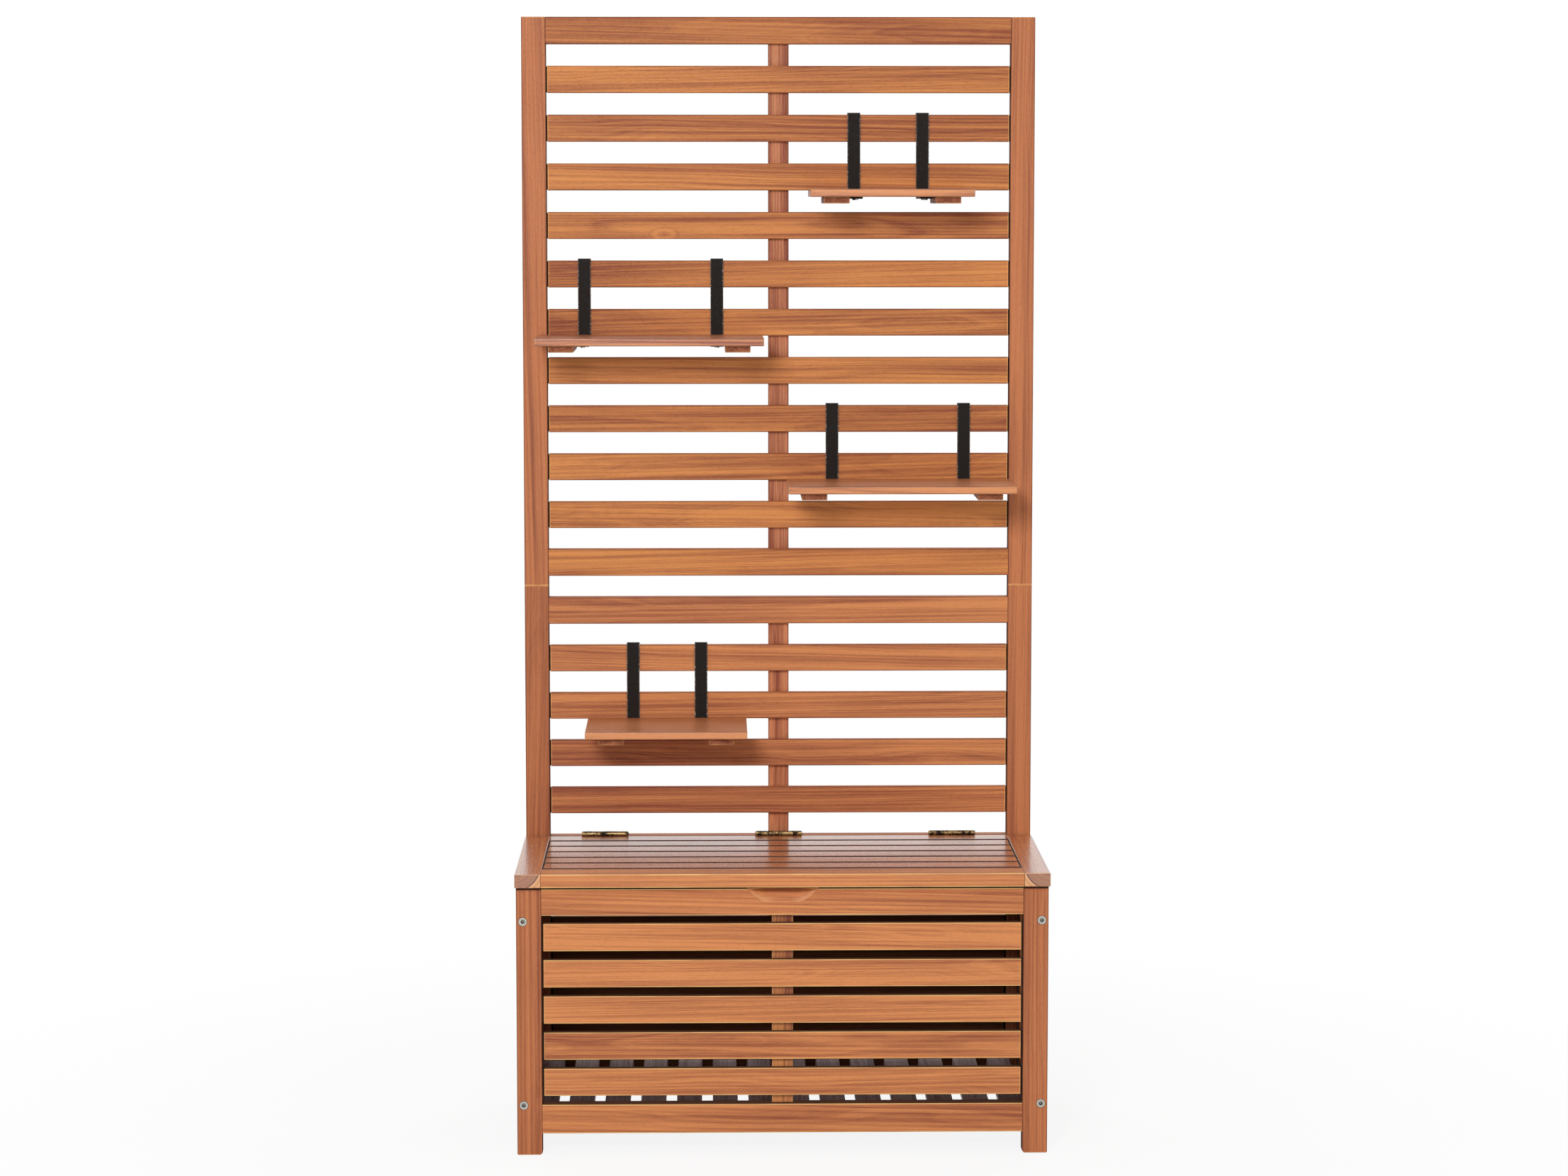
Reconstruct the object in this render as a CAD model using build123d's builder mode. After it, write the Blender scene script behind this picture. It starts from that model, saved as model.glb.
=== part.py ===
from build123d import *
import os
from math import atan, degrees

os.makedirs("parts", exist_ok=True)

# A slatted garden storage bench with a hinged lid, a tall two-stage slatted
# trellis as its back, and four small shelves that hook over the trellis slats.
# +X is to the right, +Y is to the back, +Z is up, and the floor is at Z = 0.

# ---- driving dimensions, in millimetres ----------------------------------

# the frame
bench_width = 800.0           # across the outer faces of the legs and posts
frame_depth = 367.0           # front of the front legs to the back of the posts
box_height = 410.0            # floor to the top edge of the storage box

# the timber
upright_width = 38.0          # faces of the legs and posts
upright_thickness = 24.0      # legs, posts and the rails between them, front to back
rail_width = 42.0             # trellis rails, bottom edge to top edge
slat_width = 42.0
slat_thickness = 12.0
batten_width = 32.0
batten_lap = 15.0             # how far a batten's end is let into the back of a rail
edge_radius = 1.5             # rounding of the long edges
end_chamfer = 1.0             # round the end grain that shows
foot_chamfer = 1.2
foot_cut_width = 3.2          # the wider chamfer on the inner edge of each foot
foot_cut_height = 3.6

# tenons
tenon_length = 12.0
slat_shoulder = 2.0           # timber taken off each face of a slat for its tenon
rail_shoulder = 7.0           # the same on a rail between uprights
side_rail_shoulder = 5.0
edge_shoulder = 5.0           # timber taken off the top and bottom edges of a rail
slat_edge_shoulder = 1.0      # the same on a slat, whose tenons are nearly its full height

# the trellis
trellis_pitch = 75.5
upper_slat_count = 10
lower_slat_count = 4
lower_trellis_gap = 36.0      # between the lid's top and the lowest trellis slat
upper_post_tail = 15.0        # upper posts, below their bottom rail
lower_post_head = 19.0        # lower posts, above their top rail
trellis_slat_gap = 2.0        # shadow gap between a slat's end and its post
joint_plate_inset = 4.0       # from the edge of a post to its joint plate
joint_plate_length = 120.0
joint_plate_thickness = 2.5
post_dowel_diameter = 8.0
post_dowel_length = 36.0
post_dowel_inset = 8.0        # from the edge of a post to a dowel's axis
post_dowel_setback = 9.0      # from the front of the post to the dowels' axes
plate_screw_offsets = (20.0, 48.0)

# the storage box
box_rail_height = 44.5
box_slat_count = 5
box_top_gap = 12.0            # between the top rail and the slat below it
bottom_rail_clearance = 32.75
box_slat_end_gap = 3.0
rear_slat_raise = 2.6         # the rear slats stand this much above the front ones
side_thickness = 20.0
stile_width = 42.0
scoop_width = 114.0           # finger scoop in the middle of the front top rail
scoop_height = 25.0
scoop_depth = 14.0
scoop_flat = 44.0             # straight part of the scoop, between its round ends
scoop_run_out = 11.0          # how far the scoop's cutter carries on below it, clear of the rail

# the floor of the box
floor_drop = 7.25             # from the top of the bottom rails down to the floor slats
floor_slat_count = 14
floor_slat_width = 38.0
floor_left_gap = 2.0          # between the first slat and the side of the box
floor_right_gap = 10.5
floor_end_gap = 1.0
bearer_width = 20.0
bearer_height = 22.0

# the lid
lid_thickness = 20.5
lid_front_overhang = 14.0
lid_side_overhang = 1.5
lid_front_rail_depth = 48.0
lid_rear_rail_depth = 42.0
lid_slat_count = 5
lid_slat_end_gap = 2.5
lid_rail_shoulder = 6.0

# the lid's butt hinges
hinge_gap = 2.5               # joint between the lid and the hinge rail
hinge_inset = 87.0            # from a post to the middle of the hinge next to it
hinge_length = 72.0
hinge_leaf_height = 18.0
hinge_leaf_thickness = 1.0
knuckle_diameter = 7.6
knuckle_sink = 0.4            # how far the knuckle reaches below the lid's top
knuckle_count = 4
knuckle_gap = 0.3
hinge_pin_diameter = 3.4
hinge_play = 0.05             # radial, pin to the fixed leaf's knuckles
hinge_pin_head_diameter = 5.2
hinge_pin_head_thickness = 1.2
hinge_screw_spacing = 24.0
hinge_screw_drop = 10.5
hinge_screw_length = 12.0

# the hook-on shelves
small_shelf_width = 250.0
large_shelf_clearance = 12.0  # a large shelf is this much shorter than half the clear width
shelf_depth = 168.0
shelf_thickness = 12.0
shelf_rise = 2.0              # shelf top above the bottom edge of the slat behind it
cleat_width = 39.0
cleat_thickness = 10.0
cleat_inset = 20.5            # from the end of the board to the cleat
cleat_front_setback = 12.0
cleat_rear_setback = 4.0
hook_width = 20.0
hook_thickness = 3.0
hook_tail = 25.0              # the leg that hangs down behind the slat
hook_flange = 110.0
hook_bend_radius = 1.0        # inside of the bends
hook_play = 0.25              # between the hook and each face of the slat
hook_cleat_gap = 2.0
shelf_screw_inset = 28.0
flange_screw_distances = (34.0, 90.0)
flange_screw_length = 12.0
flange_screw_head_height = 2.0
cleat_screw_length = 18.0

# fasteners
screw_diameter = 3.5
screw_head_diameter = 7.0
recess_width = 1.0            # cross recess in a screw's head
recess_length = 4.2
recess_depth = 1.2
batten_screw_length = 18.0
lid_batten_screw_length = 15.0
plate_screw_length = 14.0
floor_screw_length = 24.0
bolt_diameter = 6.0
bolt_hole_diameter = 6.6
bolt_length = 50.0
bolt_head_diameter = 13.0
bolt_head_height = 4.0
bolt_counterbore_diameter = 14.0
bolt_socket_width = 5.0
bolt_socket_depth = 2.6
bolt_top_drop = 53.5          # from the top of the box to the upper bolts
bolt_rail_drop = 1.25         # from the top of the bottom rail to the lower bolts
barrel_nut_diameter = 10.0
barrel_nut_length = 14.0
barrel_nut_distance = 22.0    # from the stile's edge to the nut's axis

# shelf places: name, size, side, distance of its inner end from the middle of the
# bench, trellis stage, and the number of the slat it hangs on, from the top
shelf_places = [
    ("shelf_upper_right", "small", 1, 46.0, "upper", 2),
    ("shelf_upper_left", "large", -1, 25.0, "upper", 5),
    ("shelf_middle_right", "large", 1, 12.5, "upper", 8),
    ("shelf_lower_left", "small", -1, 51.0, "lower", 1),
]

# ---- levels and planes that follow from them ------------------------------

half_width = bench_width / 2
inner_half = half_width - upright_width
y_back = (lid_front_overhang + frame_depth) / 2
y_post = y_back - upright_thickness
y_leg = y_back - frame_depth
y_leg_back = y_leg + upright_thickness
y_lid_front = y_leg - lid_front_overhang
y_lid_back = y_post - hinge_gap

batten_thickness = upright_thickness - slat_thickness
between_uprights = (-inner_half, inner_half)
batten_x = (-batten_width / 2, batten_width / 2)
post_y = (y_post, y_back)
trellis_slat_y = (y_post, y_post + slat_thickness)
trellis_batten_y = (y_back - batten_thickness, y_back)
leg_y = (y_leg, y_leg_back)
front_slat_y = (y_leg, y_leg + slat_thickness)
front_batten_y = (y_leg_back - batten_thickness, y_leg_back)


def below(top, height):
    """The span of a member of this height whose top edge is at top."""
    return (top - height, top)


def shrink(span, margin):
    return (span[0] + margin, span[1] - margin)


def grow(span, margin):
    return (span[0] - margin, span[1] + margin)


def middle(span):
    return (span[0] + span[1]) / 2


def about(centre, size):
    return (centre - size / 2, centre + size / 2)


def on_side(side, inner, outer):
    """The span from inner to outer on the right (side 1) or the left (side -1)."""
    return (min(side * inner, side * outer), max(side * inner, side * outer))


# storage box levels; its slats share the height between the two rails
box_top_rail_z = below(box_height, box_rail_height)
box_bottom_rail_z = (bottom_rail_clearance, bottom_rail_clearance + box_rail_height)
box_slat_space = box_top_rail_z[0] - box_top_gap - box_bottom_rail_z[1]
box_slat_pitch = box_slat_space / box_slat_count
box_slat_z = [
    below(box_top_rail_z[0] - box_top_gap - box_slat_pitch * i, slat_width) for i in range(box_slat_count)
]
rear_slat_z = [(bottom + rear_slat_raise, top + rear_slat_raise) for bottom, top in box_slat_z]
lid_z = (box_height, box_height + lid_thickness)
hinge_rail_z = (box_top_rail_z[0], lid_z[1])

# trellis levels, from the lid upwards
lowest_slat_top = lid_z[1] + lower_trellis_gap + slat_width
lower_top_rail_z = below(lowest_slat_top + trellis_pitch * lower_slat_count, rail_width)
lower_slat_z = [
    below(lower_top_rail_z[1] - trellis_pitch * (i + 1), slat_width) for i in range(lower_slat_count)
]
post_joint_height = lower_top_rail_z[1] + lower_post_head
upper_bottom_rail_z = (post_joint_height + upper_post_tail, post_joint_height + upper_post_tail + rail_width)
overall_height = upper_bottom_rail_z[1] + trellis_pitch * (upper_slat_count + 1)
upper_top_rail_z = below(overall_height, rail_width)
upper_slat_z = [below(overall_height - trellis_pitch * (i + 1), slat_width) for i in range(upper_slat_count)]

# ---- how the timber is cut -------------------------------------------------

to_top = (Align.CENTER, Align.CENTER, Align.MAX)
to_bottom = (Align.CENTER, Align.CENTER, Align.MIN)


def board(x, y, z, grain, radius=edge_radius, mode=Mode.ADD):
    """A board that fills the three spans, its long edges rounded along the grain."""
    if grain == "x":
        plane = Plane(origin=(x[0], middle(y), middle(z)), x_dir=(0, 1, 0), z_dir=(1, 0, 0))
        width, height, length = y[1] - y[0], z[1] - z[0], x[1] - x[0]
    elif grain == "y":
        plane = Plane(origin=(middle(x), y[0], middle(z)), x_dir=(1, 0, 0), z_dir=(0, 1, 0))
        width, height, length = x[1] - x[0], z[1] - z[0], y[1] - y[0]
    else:
        plane = Plane(origin=(middle(x), middle(y), z[0]), x_dir=(1, 0, 0), z_dir=(0, 0, 1))
        width, height, length = x[1] - x[0], y[1] - y[0], z[1] - z[0]
    with BuildSketch(plane) as section:
        if radius > 0:
            RectangleRounded(width, height, radius)
        else:
            Rectangle(width, height)
    extrude(section.sketch, amount=length, mode=mode)


def block(x, y, z, mode=Mode.ADD):
    """A square-cut block: a tenon, or the pocket that takes a tenon or a lapped end."""
    board(x, y, z, "z", 0, mode)


def cross_tenons(y, z, face, edge, mode=Mode.ADD):
    """Stub tenons of a member along X, or their mortises in both uprights."""
    block(grow(between_uprights, tenon_length), shrink(y, face), shrink(z, edge), mode)


def cross_member(y, z, face, edge, end_gap=0):
    """A slat or rail between the uprights, with a tenon into each."""
    board(shrink(between_uprights, end_gap), y, z, "x")
    cross_tenons(y, z, face, edge)


def countersunk(length, mode=Mode.ADD):
    """A countersunk screw or its hole: the head's face at the origin, the shank along -Z."""
    head_height = (screw_head_diameter - screw_diameter) / 2
    Cylinder(screw_diameter / 2, length, align=to_top, mode=mode)
    Cone(screw_diameter / 2, screw_head_diameter / 2, head_height, align=to_top, mode=mode)


def screws_at(places, length):
    """Countersunk screws with a cross recess, each a copy of one."""
    with BuildPart(mode=Mode.PRIVATE) as screw:
        countersunk(length)
        Box(recess_length, recess_width, recess_depth, align=to_top, mode=Mode.SUBTRACT)
        Box(recess_width, recess_length, recess_depth, align=to_top, mode=Mode.SUBTRACT)
    with Locations(*places):
        add(screw.part)


def screw_holes_at(places, length):
    with Locations(*places):
        countersunk(length, Mode.SUBTRACT)


def facing(direction, x, y, z):
    """A place whose local +Z looks along the given direction."""
    turns = {"up": (0, 0, 0), "down": (180, 0, 0), "front": (90, 0, 0), "back": (-90, 0, 0)}
    return Location((x, y, z), turns[direction])


def save(piece, name):
    piece.part.label = name
    export_step(piece.part, f"parts/{name}.step")


# ---- fastener places --------------------------------------------------------

bolt_heights = (box_height - bolt_top_drop, box_bottom_rail_z[1] - bolt_rail_drop)
bolt_x = half_width - side_thickness / 2
bolt_reach = bolt_head_height + bolt_length
front_bolts = [facing("front", side * bolt_x, y_leg, z) for side in (-1, 1) for z in bolt_heights]
rear_bolts = [facing("back", side * bolt_x, y_back, z) for side in (-1, 1) for z in bolt_heights]
nut_places = [
    Location((side * (half_width - side_thickness), y, z), (0, 90 * side, 0))
    for side in (-1, 1)
    for z in bolt_heights
    for y in (y_leg_back + barrel_nut_distance, y_post - barrel_nut_distance)
]


def batten_screw_places(y_face, spans):
    return [facing("back", 0, y_face, middle(span)) for span in spans]


def lapped(rail_z, from_below):
    """The stretch of a rail that a batten's end is let into."""
    if from_below:
        return (rail_z[0], rail_z[0] + batten_lap)
    return (rail_z[1] - batten_lap, rail_z[1])


upper_batten_screws = batten_screw_places(
    y_back,
    [lapped(upper_top_rail_z, True)] + upper_slat_z + [lapped(upper_bottom_rail_z, False)],
)
lower_batten_screws = batten_screw_places(
    y_back,
    [lapped(lower_top_rail_z, True)] + lower_slat_z + [hinge_rail_z] + rear_slat_z
    + [lapped(box_bottom_rail_z, False)],
)
front_batten_screws = batten_screw_places(
    y_leg_back,
    [lapped(box_top_rail_z, True)] + box_slat_z + [lapped(box_bottom_rail_z, False)],
)

post_middle = half_width - upright_width / 2
plates = [
    (
        about(side * post_middle, upright_width - 2 * joint_plate_inset),
        (y_back - joint_plate_thickness, y_back),
        about(post_joint_height, joint_plate_length),
    )
    for side in (-1, 1)
]
plate_screws = [
    facing("back", side * post_middle, y_back, post_joint_height + sign * offset)
    for side in (-1, 1)
    for sign in (-1, 1)
    for offset in plate_screw_offsets
]
dowel_places = [
    Location((side * x, y_post + post_dowel_setback, post_joint_height))
    for side in (-1, 1)
    for x in (inner_half + post_dowel_inset, half_width - post_dowel_inset)
]

# ---- front of the storage box -----------------------------------------------


def foot_cut(side, y):
    """Takes the wider chamfer off the inner edge of an upright's foot."""
    with BuildSketch(Plane.XZ.offset(-y[0])) as wedge:
        with BuildLine():
            Polyline(
                (side * inner_half, 0),
                (side * (inner_half + foot_cut_width), 0),
                (side * inner_half, foot_cut_height),
                close=True,
            )
        make_face()
    extrude(wedge.sketch, amount=y[0] - y[1], mode=Mode.SUBTRACT)


def bolt_holes(places, depth):
    """A counterbored bolt hole through an upright."""
    with Locations(*places):
        CounterBoreHole(bolt_hole_diameter / 2, bolt_counterbore_diameter / 2, bolt_head_height, depth)


for side, word in ((-1, "left"), (1, "right")):
    with BuildPart() as front_leg:
        board(on_side(side, inner_half, half_width), leg_y, (0, box_height), "z")
        chamfer(front_leg.edges().group_by(Axis.Z)[0], foot_chamfer)
        chamfer(front_leg.edges().group_by(Axis.Z)[-1], end_chamfer)
        foot_cut(side, leg_y)
        cross_tenons(leg_y, box_top_rail_z, rail_shoulder, edge_shoulder, Mode.SUBTRACT)
        cross_tenons(leg_y, box_bottom_rail_z, rail_shoulder, edge_shoulder, Mode.SUBTRACT)
        for slat_z in box_slat_z:
            cross_tenons(front_slat_y, slat_z, slat_shoulder, slat_edge_shoulder, Mode.SUBTRACT)
        bolt_holes(front_bolts, upright_thickness)
    save(front_leg, f"front_leg_{word}")

scoop_radius = ((scoop_width - scoop_flat) ** 2 / 4 + scoop_depth**2) / (2 * scoop_depth)
scoop_plane = Plane(origin=(0, y_leg + scoop_depth - scoop_radius, box_height), z_dir=(0, 0, -1))

with BuildPart() as front_top_rail:
    cross_member(leg_y, box_top_rail_z, rail_shoulder, edge_shoulder)
    block(batten_x, front_batten_y, lapped(box_top_rail_z, True), Mode.SUBTRACT)
    with BuildSketch(scoop_plane):
        SlotCenterToCenter(scoop_flat, 2 * scoop_radius)
    extrude(
        amount=scoop_height + scoop_run_out,
        taper=degrees(atan(scoop_depth / scoop_height)),
        mode=Mode.SUBTRACT,
    )
    screw_holes_at(front_batten_screws, batten_screw_length)
save(front_top_rail, "front_top_rail")

with BuildPart() as front_bottom_rail:
    cross_member(leg_y, box_bottom_rail_z, rail_shoulder, edge_shoulder)
    block(batten_x, front_batten_y, lapped(box_bottom_rail_z, False), Mode.SUBTRACT)
    screw_holes_at(front_batten_screws, batten_screw_length)
save(front_bottom_rail, "front_bottom_rail")

with BuildPart() as front_slats:
    for slat_z in box_slat_z:
        cross_member(front_slat_y, slat_z, slat_shoulder, slat_edge_shoulder, box_slat_end_gap)
    screw_holes_at(front_batten_screws, batten_screw_length)
save(front_slats, "front_slats")

with BuildPart() as front_batten:
    board(batten_x, front_batten_y, grow((box_bottom_rail_z[1], box_top_rail_z[0]), batten_lap), "z")
    screw_holes_at(front_batten_screws, batten_screw_length)
save(front_batten, "front_batten")

# ---- sides of the storage box -----------------------------------------------

between_stiles = (y_leg_back + stile_width, y_post - stile_width)
box_side_z = (box_bottom_rail_z[0], box_height)


def side_tenons(x, z, face, edge, mode=Mode.ADD):
    """Stub tenons of a member along Y, or their mortises in both stiles."""
    block(shrink(x, face), grow(between_stiles, tenon_length), shrink(z, edge), mode)


for side, word in ((-1, "left"), (1, "right")):
    frame_x = on_side(side, half_width - side_thickness, half_width)
    side_slat_x = on_side(side, half_width - slat_thickness, half_width)

    with BuildPart() as side_stiles:
        board(frame_x, (y_leg_back, between_stiles[0]), box_side_z, "z")
        board(frame_x, (between_stiles[1], y_post), box_side_z, "z")
        side_tenons(frame_x, box_top_rail_z, side_rail_shoulder, edge_shoulder, Mode.SUBTRACT)
        side_tenons(frame_x, box_bottom_rail_z, side_rail_shoulder, edge_shoulder, Mode.SUBTRACT)
        for slat_z in box_slat_z:
            side_tenons(side_slat_x, slat_z, slat_shoulder, slat_edge_shoulder, Mode.SUBTRACT)
        with Locations(*front_bolts, *rear_bolts):
            Cylinder(bolt_hole_diameter / 2, bolt_reach, align=to_top, mode=Mode.SUBTRACT)
        with Locations(*nut_places):
            Cylinder(barrel_nut_diameter / 2, barrel_nut_length, align=to_bottom, mode=Mode.SUBTRACT)
    save(side_stiles, f"side_stiles_{word}")

    with BuildPart() as side_rails:
        for rail_z in (box_top_rail_z, box_bottom_rail_z):
            board(frame_x, between_stiles, rail_z, "y")
            side_tenons(frame_x, rail_z, side_rail_shoulder, edge_shoulder)
    save(side_rails, f"side_rails_{word}")

    with BuildPart() as side_slats:
        for slat_z in box_slat_z:
            board(side_slat_x, shrink(between_stiles, box_slat_end_gap), slat_z, "y")
            side_tenons(side_slat_x, slat_z, slat_shoulder, slat_edge_shoulder)
    save(side_slats, f"side_slats_{word}")

# bolts that hold the front legs and the rear posts to the side stiles, with their barrel nuts
with BuildPart() as frame_bolts:
    with Locations(*front_bolts, *rear_bolts):
        Cylinder(bolt_diameter / 2, bolt_reach, align=to_top)
        Cylinder(bolt_head_diameter / 2, bolt_head_height, align=to_top)
    for place in front_bolts + rear_bolts:
        with BuildSketch(Plane(place)):
            RegularPolygon(bolt_socket_width / 2, 6, major_radius=False)
        extrude(amount=-bolt_socket_depth, mode=Mode.SUBTRACT)
save(frame_bolts, "frame_bolts")

with BuildPart() as barrel_nuts:
    with Locations(*nut_places):
        Cylinder(barrel_nut_diameter / 2, barrel_nut_length, align=to_bottom)
    with Locations(*front_bolts, *rear_bolts):
        Cylinder(bolt_diameter / 2, bolt_reach, align=to_top, mode=Mode.SUBTRACT)
save(barrel_nuts, "barrel_nuts")

# ---- posts, rails and slats of the back ---------------------------------------

for side, word in ((-1, "left"), (1, "right")):
    post_x = on_side(side, inner_half, half_width)

    with BuildPart() as lower_post:
        board(post_x, post_y, (0, post_joint_height), "z")
        chamfer(lower_post.edges().group_by(Axis.Z)[0], foot_chamfer)
        foot_cut(side, post_y)
        for rail_z in (lower_top_rail_z, hinge_rail_z, box_bottom_rail_z):
            cross_tenons(post_y, rail_z, rail_shoulder, edge_shoulder, Mode.SUBTRACT)
        for slat_z in lower_slat_z + rear_slat_z:
            cross_tenons(trellis_slat_y, slat_z, slat_shoulder, slat_edge_shoulder, Mode.SUBTRACT)
        bolt_holes(rear_bolts, upright_thickness)
        for plate in plates:
            block(*plate, Mode.SUBTRACT)
        screw_holes_at(plate_screws, plate_screw_length)
        with Locations(*dowel_places):
            Cylinder(post_dowel_diameter / 2, post_dowel_length, mode=Mode.SUBTRACT)
    save(lower_post, f"lower_post_{word}")

    with BuildPart() as upper_post:
        board(post_x, post_y, (post_joint_height, overall_height), "z")
        chamfer(upper_post.edges().group_by(Axis.Z)[-1], end_chamfer)
        for rail_z in (upper_top_rail_z, upper_bottom_rail_z):
            cross_tenons(post_y, rail_z, rail_shoulder, edge_shoulder, Mode.SUBTRACT)
        for slat_z in upper_slat_z:
            cross_tenons(trellis_slat_y, slat_z, slat_shoulder, slat_edge_shoulder, Mode.SUBTRACT)
        for plate in plates:
            block(*plate, Mode.SUBTRACT)
        screw_holes_at(plate_screws, plate_screw_length)
        with Locations(*dowel_places):
            Cylinder(post_dowel_diameter / 2, post_dowel_length, mode=Mode.SUBTRACT)
    save(upper_post, f"upper_post_{word}")

with BuildPart() as post_dowels:
    with Locations(*dowel_places):
        Cylinder(post_dowel_diameter / 2, post_dowel_length)
save(post_dowels, "post_dowels")

with BuildPart() as joint_plates:
    for plate in plates:
        block(*plate)
    screw_holes_at(plate_screws, plate_screw_length)
save(joint_plates, "joint_plates")

# rails whose backs take the ends of a batten
trellis_rails = (
    ("upper_top_rail", upper_top_rail_z, lapped(upper_top_rail_z, True), upper_batten_screws),
    ("upper_bottom_rail", upper_bottom_rail_z, lapped(upper_bottom_rail_z, False), upper_batten_screws),
    ("lower_top_rail", lower_top_rail_z, lapped(lower_top_rail_z, True), lower_batten_screws),
    ("rear_bottom_rail", box_bottom_rail_z, lapped(box_bottom_rail_z, False), lower_batten_screws),
)
for name, rail_z, lap_z, lap_screws in trellis_rails:
    with BuildPart() as rail:
        cross_member(post_y, rail_z, rail_shoulder, edge_shoulder)
        block(batten_x, trellis_batten_y, lap_z, Mode.SUBTRACT)
        screw_holes_at(lap_screws, batten_screw_length)
    save(rail, name)

slat_groups = (
    ("upper_slats", upper_slat_z, trellis_slat_gap, upper_batten_screws),
    ("lower_slats", lower_slat_z, trellis_slat_gap, lower_batten_screws),
    ("rear_slats", rear_slat_z, box_slat_end_gap, lower_batten_screws),
)
for name, group_z, end_gap, slat_screws in slat_groups:
    with BuildPart() as slats:
        for slat_z in group_z:
            cross_member(trellis_slat_y, slat_z, slat_shoulder, slat_edge_shoulder, end_gap)
        screw_holes_at(slat_screws, batten_screw_length)
    save(slats, name)

batten_spans = (
    ("upper_batten", (upper_bottom_rail_z[1], upper_top_rail_z[0]), upper_batten_screws),
    ("lower_batten", (box_bottom_rail_z[1], lower_top_rail_z[0]), lower_batten_screws),
)
for name, clear_z, own_screws in batten_spans:
    with BuildPart() as batten:
        board(batten_x, trellis_batten_y, grow(clear_z, batten_lap), "z")
        screw_holes_at(own_screws, batten_screw_length)
    save(batten, name)

# ---- floor of the storage box ---------------------------------------------------

floor_top = box_bottom_rail_z[1] - floor_drop
floor_z = (floor_top - slat_thickness, floor_top)
floor_y = shrink((y_leg_back, y_post), floor_end_gap)
bearer_x = (-(half_width - side_thickness), half_width - side_thickness)
floor_x = (bearer_x[0] + floor_left_gap, bearer_x[1] - floor_right_gap)
floor_slat_pitch = (floor_x[1] - floor_x[0] - floor_slat_width) / (floor_slat_count - 1)
floor_slat_x = [
    about(floor_x[0] + floor_slat_width / 2 + floor_slat_pitch * i, floor_slat_width)
    for i in range(floor_slat_count)
]
bearer_z = below(floor_z[0], bearer_height)
bearer_rows = (
    (y_leg_back, y_leg_back + bearer_width),
    (y_post - bearer_width, y_post),
)
floor_screws = [facing("up", middle(x), middle(y), floor_top) for x in floor_slat_x for y in bearer_rows]

with BuildPart() as floor_slats:
    for x in floor_slat_x:
        board(x, floor_y, floor_z, "y")
    screw_holes_at(floor_screws, floor_screw_length)
save(floor_slats, "floor_slats")

with BuildPart() as floor_bearers:
    for y in bearer_rows:
        board(bearer_x, y, bearer_z, "x")
    screw_holes_at(floor_screws, floor_screw_length)
save(floor_bearers, "floor_bearers")

# ---- butt hinges -------------------------------------------------------------------

lid_top = lid_z[1]
knuckle_radius = knuckle_diameter / 2
pin_radius = hinge_pin_diameter / 2
hinge_y = y_post - hinge_gap / 2
hinge_z = lid_top + knuckle_radius - knuckle_sink
hinge_places = (-(inner_half - hinge_inset), 0.0, inner_half - hinge_inset)
knuckle_length = hinge_length / knuckle_count - knuckle_gap
leaf_top = hinge_z - knuckle_radius - knuckle_gap
leaf_bottom = lid_top - hinge_leaf_height
tab_top = hinge_z - (pin_radius + knuckle_radius) / 2
fixed_leaf_y = (y_post - hinge_leaf_thickness, y_post)
lid_leaf_y = (y_lid_back, y_lid_back + hinge_leaf_thickness)
hinge_screw_shifts = (-hinge_screw_spacing, 0.0, hinge_screw_spacing)
fixed_hinge_screws = [
    facing("front", x + shift, fixed_leaf_y[0], lid_top - hinge_screw_drop)
    for x in hinge_places
    for shift in hinge_screw_shifts
]
lid_hinge_screws = [
    facing("back", x + shift, lid_leaf_y[1], lid_top - hinge_screw_drop)
    for x in hinge_places
    for shift in hinge_screw_shifts
]


def hinge_leaves(leaf_y, first_knuckle, bore_radius):
    """Three hinge leaves with every second knuckle, starting from first_knuckle."""
    for x in hinge_places:
        block(about(x, hinge_length), leaf_y, (leaf_bottom, leaf_top))
        for i in range(first_knuckle, knuckle_count, 2):
            knuckle_middle = x + (i + 0.5 - knuckle_count / 2) * hinge_length / knuckle_count
            knuckle_x = about(knuckle_middle, knuckle_length)
            block(knuckle_x, leaf_y, (leaf_top, tab_top))
            with BuildSketch(Plane.YZ.offset(knuckle_x[0])) as ring:
                with Locations((hinge_y, hinge_z)):
                    Circle(knuckle_radius)
            extrude(ring.sketch, amount=knuckle_length)
        with BuildSketch(Plane.YZ.offset(x - hinge_length / 2)) as bore:
            with Locations((hinge_y, hinge_z)):
                Circle(bore_radius)
        extrude(bore.sketch, amount=hinge_length, mode=Mode.SUBTRACT)


with BuildPart() as hinge_leaves_fixed:
    hinge_leaves(fixed_leaf_y, 0, pin_radius + hinge_play)
    screw_holes_at(fixed_hinge_screws, hinge_screw_length)
save(hinge_leaves_fixed, "hinge_leaves_fixed")

with BuildPart() as hinge_leaves_lid:
    hinge_leaves(lid_leaf_y, 1, pin_radius)
    screw_holes_at(lid_hinge_screws, hinge_screw_length)
save(hinge_leaves_lid, "hinge_leaves_lid")

with BuildPart() as hinge_pins:
    for x in hinge_places:
        with Locations(Location((x, hinge_y, hinge_z), (0, 90, 0))):
            Cylinder(pin_radius, hinge_length)
        for end in (-1, 1):
            head_x = x + end * (hinge_length + hinge_pin_head_thickness) / 2
            with Locations(Location((head_x, hinge_y, hinge_z), (0, 90, 0))):
                Cylinder(hinge_pin_head_diameter / 2, hinge_pin_head_thickness)
save(hinge_pins, "hinge_pins")

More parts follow.
